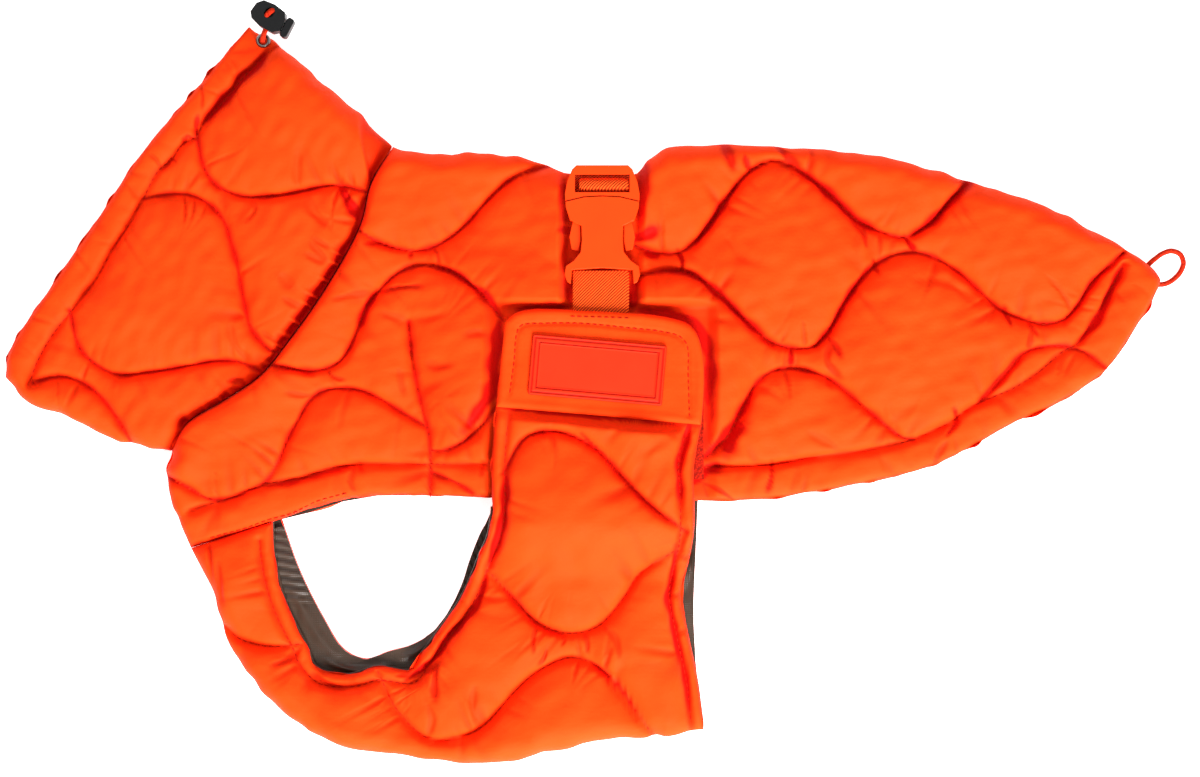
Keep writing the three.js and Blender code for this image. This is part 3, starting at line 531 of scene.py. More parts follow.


# Folds and puckers, each with its depth, half its width, how much painted shade it gets, and its places
BACK_FOLDS = [
    (1.6, 1.2, 0.9, [(-142, 15), (-132, 13), (-122, 11)]),
    (2.4, 1.6, 1.0, [(-101, 31), (-99, 38), (-95, 45), (-93, 48)]),
    (1.4, 1.3, 0.45, [(-112, 44), (-103, 46), (-94, 47)]),
    (1.4, 1.0, 0.7, [(-92, 47), (-85, 49), (-73, 50)]),
    (2.4, 1.4, 1.0, [(-68, 59), (-58, 56), (-50, 50), (-43, 45), (-38, 37), (-36, 34)]),
    (1.0, 0.9, 0.7, [(-68, 67), (-66, 65), (-65, 60)]),
    (1.2, 0.9, 0.8, [(-78, 66), (-78, 63)]),
    (1.4, 1.1, 0.8, [(-98, 69), (-91, 69), (-85, 67)]),
    (1.2, 1.0, 0.6, [(-116, 13), (-112, 9), (-108, 8)]),
    (0.8, 0.8, 0.6, [(-123, 12), (-122, 10)]),
    (1.5, 1.1, 0.9, [(-144, -40), (-132, -38), (-117, -34), (-102, -30)]),
    (1.2, 1.1, 0.5, [(-103, -31), (-105, -37), (-103, -42)]),
    (1.0, 0.8, 0.6, [(-101, -29), (-100, -33)]),
    (1.2, 1.8, 0.3, [(-91, 38), (-85, 36), (-80, 34)]),
    (1.2, 2.0, 0.12, [(-77, 36), (-69, 36), (-62, 38)]),
    (1.0, 1.6, 0.3, [(-71, 16), (-66, 14), (-59, 15)]),
    (3.4, 2.6, 1.0, [(-37, 36), (-39, 29), (-39, 22), (-41, 15), (-40, 7), (-43, 0), (-48, -7), (-53, -15)]),
    (1.6, 1.2, 0.9, [(-31, 39), (-19, 41), (-6, 40.5)]),
    (1.0, 1.5, 0.4, [(-53, 28), (-47, 29), (-41, 28)]),
    (1.2, 1.2, 0.5, [(-45, -29), (-46, -35)]),
    (1.0, 1.2, 0.4, [(-133, 2), (-127, 1), (-122, 1)]),
    (1.0, 1.2, 0.35, [(-83, 12), (-81, 2)]),
    (1.5, 1.2, 1.0, [(93, 23), (93, 19), (93, 14.6)]),
    (1.3, 1.0, 0.7, [(125.3, 77), (126, 72), (126.8, 67.7)]),
    (1.2, 1.0, 0.8, [(79, 27), (83, 24.5), (86.3, 23)]),
    (1.6, 1.3, 0.8, [(109.7, 27), (113, 23), (115, 18.5)]),
    (1.6, 1.5, 0.6, [(111, 25), (109, 17), (115, 9)]),
    (1.3, 1.8, 0.15, [(128, 74), (130, 66), (132, 56)]),
    (1.2, 1.0, 0.8, [(130, 62), (132, 56)]),
    (1.5, 1.2, 0.6, [(120, 82), (122, 78), (126, 73)]),
    (1.6, 1.1, 1.0, [(144, 73), (146, 70), (149, 66)]),
    (1.5, 1.1, 0.9, [(188.5, 41), (190, 37), (191.6, 32.6)]),
    (1.3, 1.0, 0.7, [(200, 36), (201, 32), (204, 28)]),
    (1.3, 1.1, 0.6, [(201, 31), (200, 22)]),
    (1.8, 1.0, 1.0, [(42, 66), (44, 62), (44, 57)]),
    (1.4, 2.2, 0.2, [(46, 39), (57, 35), (67, 35)]),
    (3.2, 1.7, 1.0, [(52, -28), (59, -22), (64.7, -14.4), (67.9, -10.3), (73.4, -1.6), (76, 4)]),
    (2.6, 3.0, 1.0, [(71, -11), (67, -17), (63.5, -25)]),
    (2.0, 1.9, 0.8, [(56.5, 2), (56, -6), (55.5, -14), (54.5, -24)]),
    (2.4, 2.2, 1.0, [(48, -39), (52, -35), (56, -32), (62, -31)]),
    (1.0, 0.7, 0.5, [(54, -31), (67, -31), (85, -30), (104, -27)]),
    (1.2, 0.8, 0.7, [(53, -38.5), (58, -40), (63, -43), (67, -46)]),
    (3.4, 2.4, 1.0, [(22, 39.5), (38, 37), (46, 35), (52, 30), (55, 23), (56.5, 14), (56, 4), (55, -6)]),
    (2.6, 1.6, 1.0, [(49, 68), (56, 77), (64, 89), (70, 97)]),
    (2.6, 1.4, 1.0, [(104, 23), (111, 31), (117, 42), (124, 53), (130, 60)]),
    (2.4, 1.8, 1.0, [(146, 72), (156, 79), (166, 89), (178, 102)]),
    (2.2, 1.3, 0.9, [(216, 34), (222, 41), (229, 52), (238, 60), (243, 65)]),
    (2.6, 1.5, 1.0, [(243, 60), (237, 48), (231, 35), (222, 24)]),
    (1.8, 1.0, 0.9, [(179, -2), (188, 8), (197, 18)]),
    (1.5, 1.0, 0.9, [(166, -5), (168, -10), (163, -17)]),
    (1.3, 1.1, 0.5, [(163, -20), (159, -26), (158, -30)]),
    (1.4, 1.0, 0.9, [(84.5, -29), (84, -36), (82.4, -42)]),
    (1.2, 1.8, 0.2, [(101, -16), (114, -23)]),
    (1.3, 2.2, 0.12, [(148, 53), (162, 52), (177, 42)]),
    (1.2, 2.4, 0.1, [(64, 73), (71, 63), (80, 60)]),
    (1.0, 1.2, 0.4, [(109, 10), (111, 5)]),
    (2.6, 2.2, 0.9, [(27, 106), (26.5, 92), (25, 80)]),
    (2.0, 2.6, 1.0, [(21, 71.5), (27, 72.5), (33, 75.5)]),
    (1.8, 1.3, 1.0, [(27, 65), (31, 64), (34, 64)]),
    (2.6, 2.0, 1.0, [(23, 54), (22, 47), (22, 40)]),
    (2.4, 2.0, 0.8, [(-9, 97), (-9, 88), (-8, 78)]),
    (2.0, 1.4, 0.9, [(-11, 75), (-8, 75), (-5, 74)]),
    (2.2, 1.6, 0.9, [(-6, 62), (-7, 50), (-6, 41)]),
    (2.2, 2.2, 0.85, [(62, 116), (65, 109), (66.8, 103)]),
    (1.6, 1.0, 0.9, [(72, 108.5), (73, 105), (75, 102)]),
    (2.4, 1.5, 0.85, [(86, 114), (92, 108), (97, 103)]),
    (2.2, 1.7, 1.0, [(95, 103), (103, 98), (111, 91), (124, 79), (132, 75)]),
    (2.0, 1.6, 1.0, [(36, 57), (49, 55), (61, 46), (73, 34), (82, 27)]),
]
COLLAR_FOLDS = [
    (3.5, 2.1, 1.0, [(-142, 156), (-147, 148), (-154, 143), (-157, 138), (-162, 133), (-171, 123)]),
    (1.6, 0.9, 0.9, [(-173, 126), (-174, 122), (-174, 117)]),
    (1.2, 0.7, 0.8, [(-174, 116), (-178, 117), (-180, 114), (-178, 115)]),
    (1.2, 0.7, 0.8, [(-183, 106), (-185, 107), (-187, 104), (-190, 102)]),
    (1.0, 0.8, 0.5, [(-172, 142), (-171, 136), (-171, 130)]),
    (0.8, 0.8, 0.3, [(-158, 155), (-147, 156)]),
    (0.9, 1.2, 0.2, [(-158, 152), (-156, 150), (-155, 147)]),
    (1.0, 0.9, 0.4, [(-195, 109), (-192, 107), (-190, 103)]),
    (0.9, 1.2, 0.2, [(-204, 95), (-201, 91), (-199, 89)]),
    (3.2, 2.0, 1.0, [(-109, 96), (-106, 89), (-103, 84), (-99, 78)]),
    (1.6, 2.2, 0.15, [(-127, 110), (-128, 102), (-128, 95)]),
    (1.8, 2.0, 0.25, [(-124, 91), (-122, 85), (-118, 80), (-114, 77)]),
    (1.2, 1.5, 0.35, [(-121, 71), (-114, 67)]),
    (1.2, 1.5, 0.35, [(-124, 64), (-116, 60)]),
    (1.2, 2.2, 0.25, [(-136, 55), (-130, 49)]),
    (1.0, 1.2, 0.3, [(-151, 79), (-147, 84), (-149, 89)]),
    (1.2, 1.4, 0.35, [(-134, 44), (-125, 39)]),
    (1.2, 1.4, 0.35, [(-122, 69), (-115, 61)]),
    (1.0, 1.4, 0.3, [(-144, 29), (-136, 24)]),
    (1.0, 1.6, 0.2, [(-159, 33), (-155, 22), (-149, 16)]),
    (1.5, 1.2, 0.7, [(-159, 7), (-154, 7), (-152, 5)]),
]
BELLY_FOLDS = [
    (2.8, 1.5, 1.0, [(49, -3), (47, -12), (44.9, -21), (42.3, -29.5), (42.6, -36), (43, -47)]),
    (3.0, 1.8, 1.0, [(-34.5, -33), (-35.3, -45), (-36.2, -54), (-39.6, -66), (-43, -75.5)]),
    (2.4, 1.4, 1.0, [(-44, -78), (-44.7, -82.6), (-48, -92.3), (-54.5, -101.1), (-61.3, -108), (-66.2, -115.8),
                     (-73, -122), (-80, -127)]),
    (2.4, 1.3, 1.0, [(41.5, -66), (39, -84), (37.5, -90), (39, -96), (42, -111), (45.5, -125), (47.5, -143)]),
    (2.0, 1.0, 0.8, [(-37, -85), (-30, -93), (-21.6, -101.5), (-15, -105), (-8, -107)]),
    (2.0, 1.1, 0.9, [(3, -119), (11, -125.5), (18, -133), (23, -141)]),
    (1.3, 0.9, 0.6, [(-21.6, -103), (-23, -109), (-22.4, -114)]),
    (1.2, 0.9, 0.6, [(-17, -113), (-18, -117), (-20, -119.5)]),
    (1.0, 0.8, 0.5, [(-10, -107), (-9, -109), (-10, -111)]),
    (1.2, 0.9, 0.6, [(0, -106), (1.5, -110), (1.5, -114)]),
    (1.2, 1.2, 0.4, [(8, -102), (14, -108), (16, -116)]),
    (1.2, 1.4, 0.3, [(-47, -148), (-50, -139), (-49, -130)]),
    (1.2, 1.4, 0.3, [(-70, -152), (-68, -144), (-70, -138)]),
    (1.0, 1.0, 0.5, [(38, -88), (43, -89), (47, -86)]),
    (1.0, 1.0, 0.5, [(41, -107), (45, -105), (48, -108)]),
    (1.0, 1.0, 0.5, [(43, -122), (47, -121), (51, -124)]),
    (1.0, 1.0, 0.5, [(42, -70), (46, -72), (49, -70)]),
    (1.6, 0.9, 0.9, [(-1, -16), (6, -23), (13, -31), (20, -39), (28, -47), (37, -54)]),
    (1.6, 0.8, 1.0, [(-38, -4.4), (-20, -6.3), (0, -8.1), (20, -9.9), (38, -11.5), (54, -13)]),
    (0.6, 2.6, 0.3, [(-30, -6.5), (0, -10), (30, -13), (46, -14.5)]),
    (1.0, 2.2, 0.15, [(18, -12), (13, -16), (10, -19)]),
    (1.2, 2.4, 0.12, [(41, -15), (35, -19), (24, -26)]),
    (2.0, 2.0, 0.5, [(45, -58), (42, -70)]),
    (1.6, 1.4, 0.6, [(-121.5, -124.5), (-115, -129), (-108, -131)]),
    (1.6, 1.3, 0.7, [(-84, -125), (-73, -124), (-65, -119)]),
    (1.8, 1.4, 0.7, [(-66.5, -119), (-67, -127), (-67, -135)]),
    (1.2, 1.3, 0.4, [(-164, -74), (-163, -84), (-162, -92)]),
    (1.4, 1.2, 0.6, [(-128, -113), (-132, -117), (-140, -120)]),
]
NAPE_FOLD = [(-101, 127), (-100, 116), (-98, 106), (-96, 92)]
NECK_GROOVE = [(-97, 88), (-101, 75), (-107, 66), (-119, 47), (-127, 36), (-136, 22), (-143, 11), (-147, 6), (-157, 1),
               (-166, -5), (-179, -12)]

leg_band = offset(NEAR_LEG, -BINDING)
rear_band = evenly([(48.5, -149), (46.3, -129), (41.5, -106), (38.3, -88), (42.5, -67), (43, -43), (42, -27),
                    (44, -20), (46, -12), (47.3, -2)], spacing=2.0)

back_quilt = Quilt([*BACK_WAVES, DART], HEM_CASING, [SEAM, NEAR_HEM], 100, BACK_FOLDS)
collar_quilt = Quilt(COLLAR_WAVES, [RIM_CASING], [SEAM, RIM], 300, COLLAR_FOLDS)
belly_quilt = Quilt(
    BELLY_WAVES, [*BELLY_FAINT, leg_band[4:-2:4], rear_band[::4]], [NEAR_LEG, NEAR_REAR, [BELLY_FOLD[0], NEAR_LEG[0]]], 500,
    BELLY_FOLDS)


def back_top(xy):
    x, y = xy[:, 0], xy[:, 1]
    rise, painted_shade = back_quilt.relief(xy)
    to_seam = nearest(xy, seam_line)[0]
    rise = rise + 4.2 * rounded(to_seam, 2.6) * (1 - smooth(to_seam, 2, 22))
    load = left_under_load(x, y)
    # Painted shade also under and beside the near flap and the buckle, where their load flattens the puff.
    return NEAR_INSIDE + STITCHED + lift_under_back(x, y) + rise * load, np.maximum(painted_shade, 0.4 * (1 - load))


def collar_top(xy):
    rise, painted_shade = collar_quilt.relief(xy)
    distance, run, _ = nearest(xy, evenly(NECK_GROOVE, spacing=3.0))
    width = 2.5 * (1 + 0.35 * uneven(run, 3))
    groove = np.exp(-(distance / width) ** 2)
    beat = run / 7.4 + 0.25 * uneven(run, 7)
    gather = np.exp(-((beat - np.floor(beat) - 0.5) / 0.13) ** 2) * smooth(run, 20, 32)
    rise = rise - 4.4 * groove * (1 - 0.75 * gather)
    # Painted shade in the neck groove, less on its gathers.
    painted_shade = np.maximum(painted_shade, np.minimum(1.4 * groove * (1 - 0.7 * gather), 1))
    distance, _, side = nearest(xy, evenly(NAPE_FOLD, spacing=3.0))
    past = side * smooth(distance, 0, 1.4) * smooth(xy[:, 1], 90, 96)
    rise = rise - 3.4 * past
    # Painted shade past the nape fold, stronger lower down the fold.
    painted_shade = np.maximum(painted_shade, past * (0.45 + 0.55 * smooth(xy[:, 1], 108, 96)))
    from_tip = np.linalg.norm(xy - np.array([-152.5, 166.3]), axis=1)
    return NEAR_INSIDE + STITCHED + np.maximum(rise * (1 - 0.9 * smooth(from_tip, 22, 8)), -2), painted_shade


def belly_inside(x, y):
    return NEAR_INSIDE + (FLAP_INSIDE - NEAR_INSIDE) * flap_share(x, y)


def belly_top(xy):
    x, y = xy[:, 0], xy[:, 1]
    rise, painted_shade = belly_quilt.relief(xy)
    return belly_inside(x, y) + STITCHED + rise * (1 - faced_share(x, y)), painted_shade


def fold_distance(xy, folds):
    """Distance to the closest curve where the cloth turns under."""
    close = np.full(len(xy), 99.0)
    for fold in folds:
        close = np.minimum(close, nearest(xy, fold)[0])
    return np.maximum(close - 0.1, 0)


def turned_under(level, middle, distance, wall=0.0):
    """Height near a fold: a quarter ellipse from the middle height up to the level."""
    return middle + (level - middle) * rounded(np.maximum(distance - wall, 0), FOLD_RADIUS - wall)


def steps(count, width, folded_start, folded_end=False, turn=10):
    """Shares from 0 to 1 in even steps, with closer ones in the first 10 mm at a fold."""
    bend = FOLD_RADIUS / width * (1 - np.cos(np.arange(turn + 1) / turn * np.pi / 2))
    low = bend if folded_start else np.zeros(1)
    high = 1 - bend[::-1] if folded_end else np.ones(1)
    plain = count + 2 - len(low) - len(high) + 1
    return np.concatenate([low, np.linspace(low[-1], high[0], plain)[1:-1], high])


def share_of_millimetre(surface, u, v):
    """How much of the way across a panel one millimetre is, at each v."""
    v = np.asarray(v, float)
    width = np.linalg.norm(surface(np.full_like(v, 1.0), v) - surface(np.full_like(v, u), v), axis=-1)
    return 1 / np.maximum(width, 1)


def wavered(xy, lines, amount, seed):
    """Plan points moved a little near the edges, whose gathers make them wavy."""
    close = np.min([nearest(xy, line)[0] for line in lines], axis=0)
    off = np.stack([ripples(xy, 11, seed), ripples(xy, 13, seed + 1)], axis=1)
    joint = nearest(xy, np.array([BELLY_FOLD[0], NEAR_LEG[0]]))[0]
    return xy + (amount * np.exp(-(close / 7) ** 2) * smooth(joint, 3, 20))[:, None] * off


def half_shell(name, surface, outer, inner, middle, folds, rims, u, v, coarse, inset, shift, materials, wavy=None):
    """Closed cloth of one half of a panel: a fine outer face, a coarse inner face and a wall
    along all four sides. It ends in the middle height at its folds, where the other half meets
    it, and has a round edge at its rims."""
    grids = []
    for wall, places in ((0.0, (u, v)), (FOLD_WALL, (u[::coarse[0]], v[::coarse[1]]))):
        a, b = places
        if wall:
            a = inset[0] + (1 - inset[0] - inset[1]) * a
            b = inset[2] + (1 - inset[2]) * b
        xy = surface(*np.meshgrid(a, b, indexing="ij"))
        bent = fold_distance(xy.reshape(-1, 2), folds)
        flat = wavered(xy.reshape(-1, 2), folds + (wavy or rims[:1]), 0.45, len(folds))
        xy = flat.reshape(xy.shape)
        inside = inner(flat)
        level, painted_shade = (inside, np.zeros(len(flat))) if wall else outer(flat)
        if not wall and rims:
            close = np.min([nearest(flat, rim)[0] for rim in rims], axis=0)
            level = inside + (level - inside) * (0.3 + 0.7 * rounded(close, 2.2))
        z = turned_under(level, middle(flat[:, 0], flat[:, 1]), bent, wall)
        grids.append((np.concatenate([xy, z.reshape(*xy.shape[:2], 1)], axis=2), painted_shade))
    (fine, painted_shades), (rough, _) = grids
    skin = np.arange(fine.shape[0] * fine.shape[1]).reshape(fine.shape[:2])
    back = np.arange(rough.shape[0] * rough.shape[1]).reshape(rough.shape[:2]) + skin.size
    walls = [fans(skin[:, end], back[:, end]) for end in (0, -1)]
    walls += [fans(skin[end], back[end]) for end in (0, -1)]
    points = np.concatenate([fine.reshape(-1, 3), rough.reshape(-1, 3)])
    points[:, :2] += shift
    # Painted shade of the outer face, carried on the mesh for the shell's colour; none on the inner face.
    values = {"painted_shade": np.concatenate([painted_shades.ravel(), np.zeros(back.size)])}
    parts = [(quads(skin), 0), (np.vstack(walls), 0), (quads(back), 1)]
    return solid(name, points, parts, materials, values, sharp=80.0)


# Materials


def colour(code):
    """Linear colour from an sRGB hex code."""
    parts = [int(code[k:k + 2], 16) / 255 for k in (1, 3, 5)]
    return (*[c / 12.92 if c <= 0.04045 else ((c + 0.055) / 1.055) ** 2.4 for c in parts], 1)


def add(tree, kind, inputs=None, **settings):
    """A node with its settings; inputs gives a socket a value, or another node's socket."""
    made = tree.nodes.new(kind)
    for key, value in settings.items():
        setattr(made, key, value)
    for key, value in (inputs or {}).items():
        if isinstance(value, bpy.types.NodeSocket):
            tree.links.new(value, made.inputs[key])
        else:
            made.inputs[key].default_value = value
    return made


def finish(name, paint, bump, strength, distance, **surface):
    """Material with a shader on it: paint and bump are sockets, and the rest are its sockets'
    own values."""
    tree = name.node_tree
    shader = tree.nodes["Principled BSDF"]
    for key, value in surface.items():
        shader.inputs[key.replace("_", " ")].default_value = value
    tree.links.new(paint, shader.inputs["Base Color"])
    raised = add(tree, "ShaderNodeBump", {"Strength": strength, "Distance": distance, "Height": bump})
    tree.links.new(raised.outputs["Normal"], shader.inputs["Normal"])
    return name


def blank(name):
    material = bpy.data.materials.new(name)
    material.use_nodes = True
    return material


def mixed(tree, share, first, second):
    """Colour between two, by a share."""
    blend = add(tree, "ShaderNodeMix", {"Factor": share, "A": first, "B": second}, data_type="RGBA")
    return blend


def woven(tree, place, pitch_mm, turn=0.0):
    """Plain weave: the product of two crossing thread waves with that spacing."""
    turned = add(tree, "ShaderNodeMapping", {"Vector": place, "Rotation": (0, 0, turn)})
    scale = 1000 / pitch_mm * 2 * math.pi / 20  # at scale 1 the phase of a band wave grows by 20 in a metre
    waves = []
    for way in ("X", "Y"):
        waves.append(add(tree, "ShaderNodeTexWave", {"Vector": turned.outputs[0], "Scale": scale, "Distortion": 0.6,
                                                      "Detail": 1.0}, bands_direction=way))
    return add(tree, "ShaderNodeMath", {0: waves[0].outputs["Fac"], 1: waves[1].outputs["Fac"]}, operation="MULTIPLY")


def shell_fabric():
    """Matt nylon taffeta, dyed neon orange, with painted shade: a deeper red mixed into its creases, standing in for
    the shade and bounced light there.
    """
    material = blank("nylon_taffeta_neon_orange")
    tree = material.node_tree
    place = add(tree, "ShaderNodeTexCoord").outputs["Object"]
    painted_shade = add(tree, "ShaderNodeAttribute", attribute_name="painted_shade").outputs["Fac"]
    cloud = add(tree, "ShaderNodeTexNoise", {"Vector": place, "Scale": 22.0, "Detail": 4.0})
    crumple = add(tree, "ShaderNodeTexNoise", {"Vector": place, "Scale": 130.0, "Detail": 5.0, "Roughness": 0.6})
    base = add(tree, "ShaderNodeMix", {"Factor": cloud.outputs["Fac"]}, data_type="RGBA")
    base.inputs[6].default_value = colour("#ff3804")
    base.inputs[7].default_value = colour("#ff3f08")
    # Painted shade: a deep red mixed in where creases, folds and stitch lines lie in shade.
    deep = add(tree, "ShaderNodeMix", {"Factor": painted_shade}, data_type="RGBA")
    tree.links.new(base.outputs[2], deep.inputs[6])
    deep.inputs[7].default_value = colour("#bc0700")
    weave = woven(tree, place, 0.6)
    low = add(tree, "ShaderNodeMath", {0: weave.outputs[0], 1: 0.05}, operation="MULTIPLY")
    high = add(tree, "ShaderNodeMath", {0: crumple.outputs["Fac"], 1: low.outputs[0]}, operation="ADD")
    return finish(material, deep.outputs[2], high.outputs[0], 0.5, 0.0009, Roughness=0.7, Sheen_Weight=0.01,
                  Sheen_Roughness=0.5, Specular_IOR_Level=0.06)


def lining_fabric():
    """Grey-brown polyester satin with pressed ribs, smooth and a little shiny."""
    material = blank("polyester_satin_grey_brown")
    tree = material.node_tree
    place = add(tree, "ShaderNodeTexCoord").outputs["Object"]
    cloud = add(tree, "ShaderNodeTexNoise", {"Vector": place, "Scale": 60.0, "Detail": 3.0})
    base = add(tree, "ShaderNodeMix", {"Factor": cloud.outputs["Fac"]}, data_type="RGBA")
    base.inputs[6].default_value = colour("#23180f")
    base.inputs[7].default_value = colour("#48362a")
    weave = woven(tree, place, 1.0)
    return finish(material, base.outputs[2], weave.outputs[0], 0.3, 0.0003, Roughness=0.36, Specular_IOR_Level=0.35)


def webbing_weave():
    """Elastic twill webbing: short diagonal ribs 1.45 mm apart, matt."""
    material = blank("polyester_webbing_orange")
    tree = material.node_tree
    place = add(tree, "ShaderNodeTexCoord").outputs["Object"]
    turned = add(tree, "ShaderNodeMapping", {"Vector": place, "Scale": (1, -1, 1)})
    ribs = add(tree, "ShaderNodeTexWave", {"Vector": turned.outputs[0], "Scale": 1000 / 1.45 * 2 * math.pi / 10,
                                           "Distortion": 0.3}, bands_direction="DIAGONAL")
    base = add(tree, "ShaderNodeMix", {"Factor": ribs.outputs["Fac"]}, data_type="RGBA")
    base.inputs[6].default_value = colour("#8c1000")
    base.inputs[7].default_value = colour("#ff5a18")
    return finish(material, base.outputs[2], ribs.outputs["Fac"], 0.7, 0.0003, Roughness=0.85, Specular_IOR_Level=0.1)


def moulded(name, dark, light, roughness, grain_mm, strength=0.15, distance=0.0001, shine=0.5, deep="#000000"):
    """Moulded part: a fine even grain from the mould, with a faint change of tone, and painted shade:
    the colour deep mixed into its sunk lines, where shade falls."""
    material = blank(name)
    tree = material.node_tree
    place = add(tree, "ShaderNodeTexCoord").outputs["Object"]
    cloud = add(tree, "ShaderNodeTexNoise", {"Vector": place, "Scale": 90.0, "Detail": 2.0})
    grain = add(tree, "ShaderNodeTexNoise", {"Vector": place, "Scale": 1000 / grain_mm, "Detail": 2.0})
    base = add(tree, "ShaderNodeMix", {"Factor": cloud.outputs["Fac"]}, data_type="RGBA")
    base.inputs[6].default_value = colour(dark)
    base.inputs[7].default_value = colour(light)
    painted_shade = add(tree, "ShaderNodeAttribute", attribute_name="painted_shade").outputs["Fac"]
    # Painted shade: the colour deep is mixed in where the mesh marks sunk lines in shade.
    sunk_shade = add(tree, "ShaderNodeMix", {"Factor": painted_shade}, data_type="RGBA")
    tree.links.new(base.outputs[2], sunk_shade.inputs[6])
    sunk_shade.inputs[7].default_value = colour(deep)
    return finish(material, sunk_shade.outputs[2], grain.outputs["Fac"], strength, distance, Roughness=roughness,
                  Specular_IOR_Level=shine)


def fibres(name, dark, light, pitch_mm):
    """Thread, cord or pile: colour and height go with a small irregular grain."""
    material = blank(name)
    tree = material.node_tree
    place = add(tree, "ShaderNodeTexCoord").outputs["Object"]
    grain = add(tree, "ShaderNodeTexVoronoi", {"Vector": place, "Scale": 1000 / pitch_mm})
    base = add(tree, "ShaderNodeMix", {"Factor": grain.outputs["Distance"]}, data_type="RGBA")
    base.inputs[6].default_value = colour(light)
    base.inputs[7].default_value = colour(dark)
    return finish(material, base.outputs[2], grain.outputs["Distance"], 0.6, -0.0003, Roughness=0.85,
                  Specular_IOR_Level=0.1)


shell = shell_fabric()
lining = lining_fabric()
webbing = webbing_weave()
buckle_plastic = moulded("acetal_moulded_orange", "#f23802", "#f83e03", 0.5, 0.5, shine=0.12)
# The badge's deep colour is painted shade for its sunk frame lines and the rim's foot.
badge_rubber = moulded("silicone_rubber_moulded", "#e0280a", "#e62d0d", 0.6, 0.8, 0.2, shine=0.1, deep="#a00500")
tape_pile = fibres("loop_tape_nylon", "#5c0600", "#c81e06", 0.9)
gunmetal = moulded("brass_eyelet_gunmetal", "#5c5856", "#74706c", 0.28, 0.4)
gunmetal.node_tree.nodes["Principled BSDF"].inputs["Metallic"].default_value = 1.0
lock_plastic = moulded("nylon_moulded_black", "#040405", "#0a0b0c", 0.4, 0.5, shine=0.2)
elastic = fibres("elastic_cord_braided", "#8c1404", "#d83010", 0.8)
thread = fibres("polyester_thread_red", "#900a00", "#c82406", 0.5)


def placed(piece, slot, *nodes):
    """Rides the piece on the coat's one body and hides the solids it stands for; its slot is not used."""
    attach(piece, "root")
    if nodes:
        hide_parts(*nodes)
    return piece


# Cords

CORD = 2.3
CORD_WAY = TIP_TOP + 2 * LAYER_GAP + 1.2 + 3
LOCK_TOP = CORD_WAY + 6
EYELET = (-144.4, 160.6)
NECK_ROUTE = [
    (EYELET[0], EYELET[1], TIP_TOP + LAYER_GAP), (EYELET[0] + 0.1, EYELET[1] + 0.3, CORD_WAY - 1.6),
    (EYELET[0] + 0.8, EYELET[1] + 2.4, CORD_WAY), (-142, 167.4, CORD_WAY), (-142.2, 169.4, CORD_WAY + 0.8),
    (-142.2, 170.3, LOCK_TOP - 2.5), (-141.5, 170.9, LOCK_TOP - 0.4), (-140.4, 171.9, LOCK_TOP + 0.5),
    (-139.3, 172.9, LOCK_TOP - 0.4), (-138.6, 173.5, LOCK_TOP - 2.6), (-138.6, 173.5, LOCK_TOP - 5),
]
TAIL_ROUTE = [
    (252.8, 57.6, 6.6), (256.2, 61.1, 6.2), (258.6, 63, 5.2), (262, 65.2, 3.4), (266.4, 66.4, 1.9), (270.4, 64.9, 1.4),
    (272, 61.2, 1.3), (270.6, 57, 1.4), (267.4, 53.6, 1.9), (263.6, 51.6, 3.4), (260.2, 51.1, 5.4), (257, 51.4, 6.2),
]


def braided_section(count=16):
    """Round section with a slightly knobbly outline, like a braid."""
    angle = np.linspace(0, 2 * np.pi, count, endpoint=False)
    radius = CORD / 2 * (1 + 0.03 * np.cos(8 * angle))
    return radius[:, None] * np.stack([np.cos(angle), np.sin(angle)], axis=1)


neck_path = evenly(NECK_ROUTE, count=72)
neck_cord = placed(along_path("neck_cord_elastic", neck_path, braided_section(), elastic, side=(1, 0, 0)),
                   "elastic_cord", "neck_cord")
tail_path = evenly(TAIL_ROUTE, count=72)
tail_cord = placed(along_path("tail_cord_elastic", tail_path, braided_section(), elastic), "elastic_cord", "tail_cord")


# Cloth panels

def no_lift(x, y):
    return MIDDLE + 0 * x


def lifted(x, y):
    return MIDDLE + lift_under_back(x, y)


def far_outer(lift):
    return lambda xy: (lift(xy[:, 0], xy[:, 1]) - MIDDLE, np.zeros(len(xy)))


def level_over(height, lift):
    return lambda xy: height - MIDDLE + lift(xy[:, 0], xy[:, 1])


def far_flap_inside(xy):
    return FAR_WALL - (FAR_WALL - FAR_FLAP) * flap_share(xy[:, 0], xy[:, 1])


cloths = [shell, lining]
back_folds = [evenly(RIDGE, spacing=2.0), evenly(CHEST, spacing=2.0)]
back_uv = (steps(180, 160, True), steps(460, 430, True))
back = half_shell("back_quilted", back_plans[0], back_top, level_over(NEAR_INSIDE, lifted), lifted, back_folds,
                  [evenly(NEAR_HEM, spacing=3.0), seam_line], *back_uv, (6, 10), (0.025, 0, 0.008), (0, 0), cloths)
back_far = half_shell("back_far_half", back_plans[1], far_outer(lifted), level_over(FAR_WALL, lifted), lifted,
                      back_folds, [], steps(60, 160, True, turn=6), steps(120, 430, True, turn=6), (2, 4),
                      (0.025, 0, 0.008), (0, 0), cloths, [evenly(NEAR_HEM, spacing=3.0)])
collar_folds = [evenly(NAPE, spacing=2.0), evenly(THROAT, spacing=2.0)]
neck_shift = -NECK_WAY * SEAM_GAP
collar = half_shell("collar_quilted", collar_plan, collar_top, level_over(NEAR_INSIDE, no_lift), no_lift,
                    collar_folds, [evenly(RIM, spacing=3.0)], steps(280, 185, True, True), steps(156, 85, False),
                    (7, 6), (0.022, 0.022, 0), neck_shift, cloths)
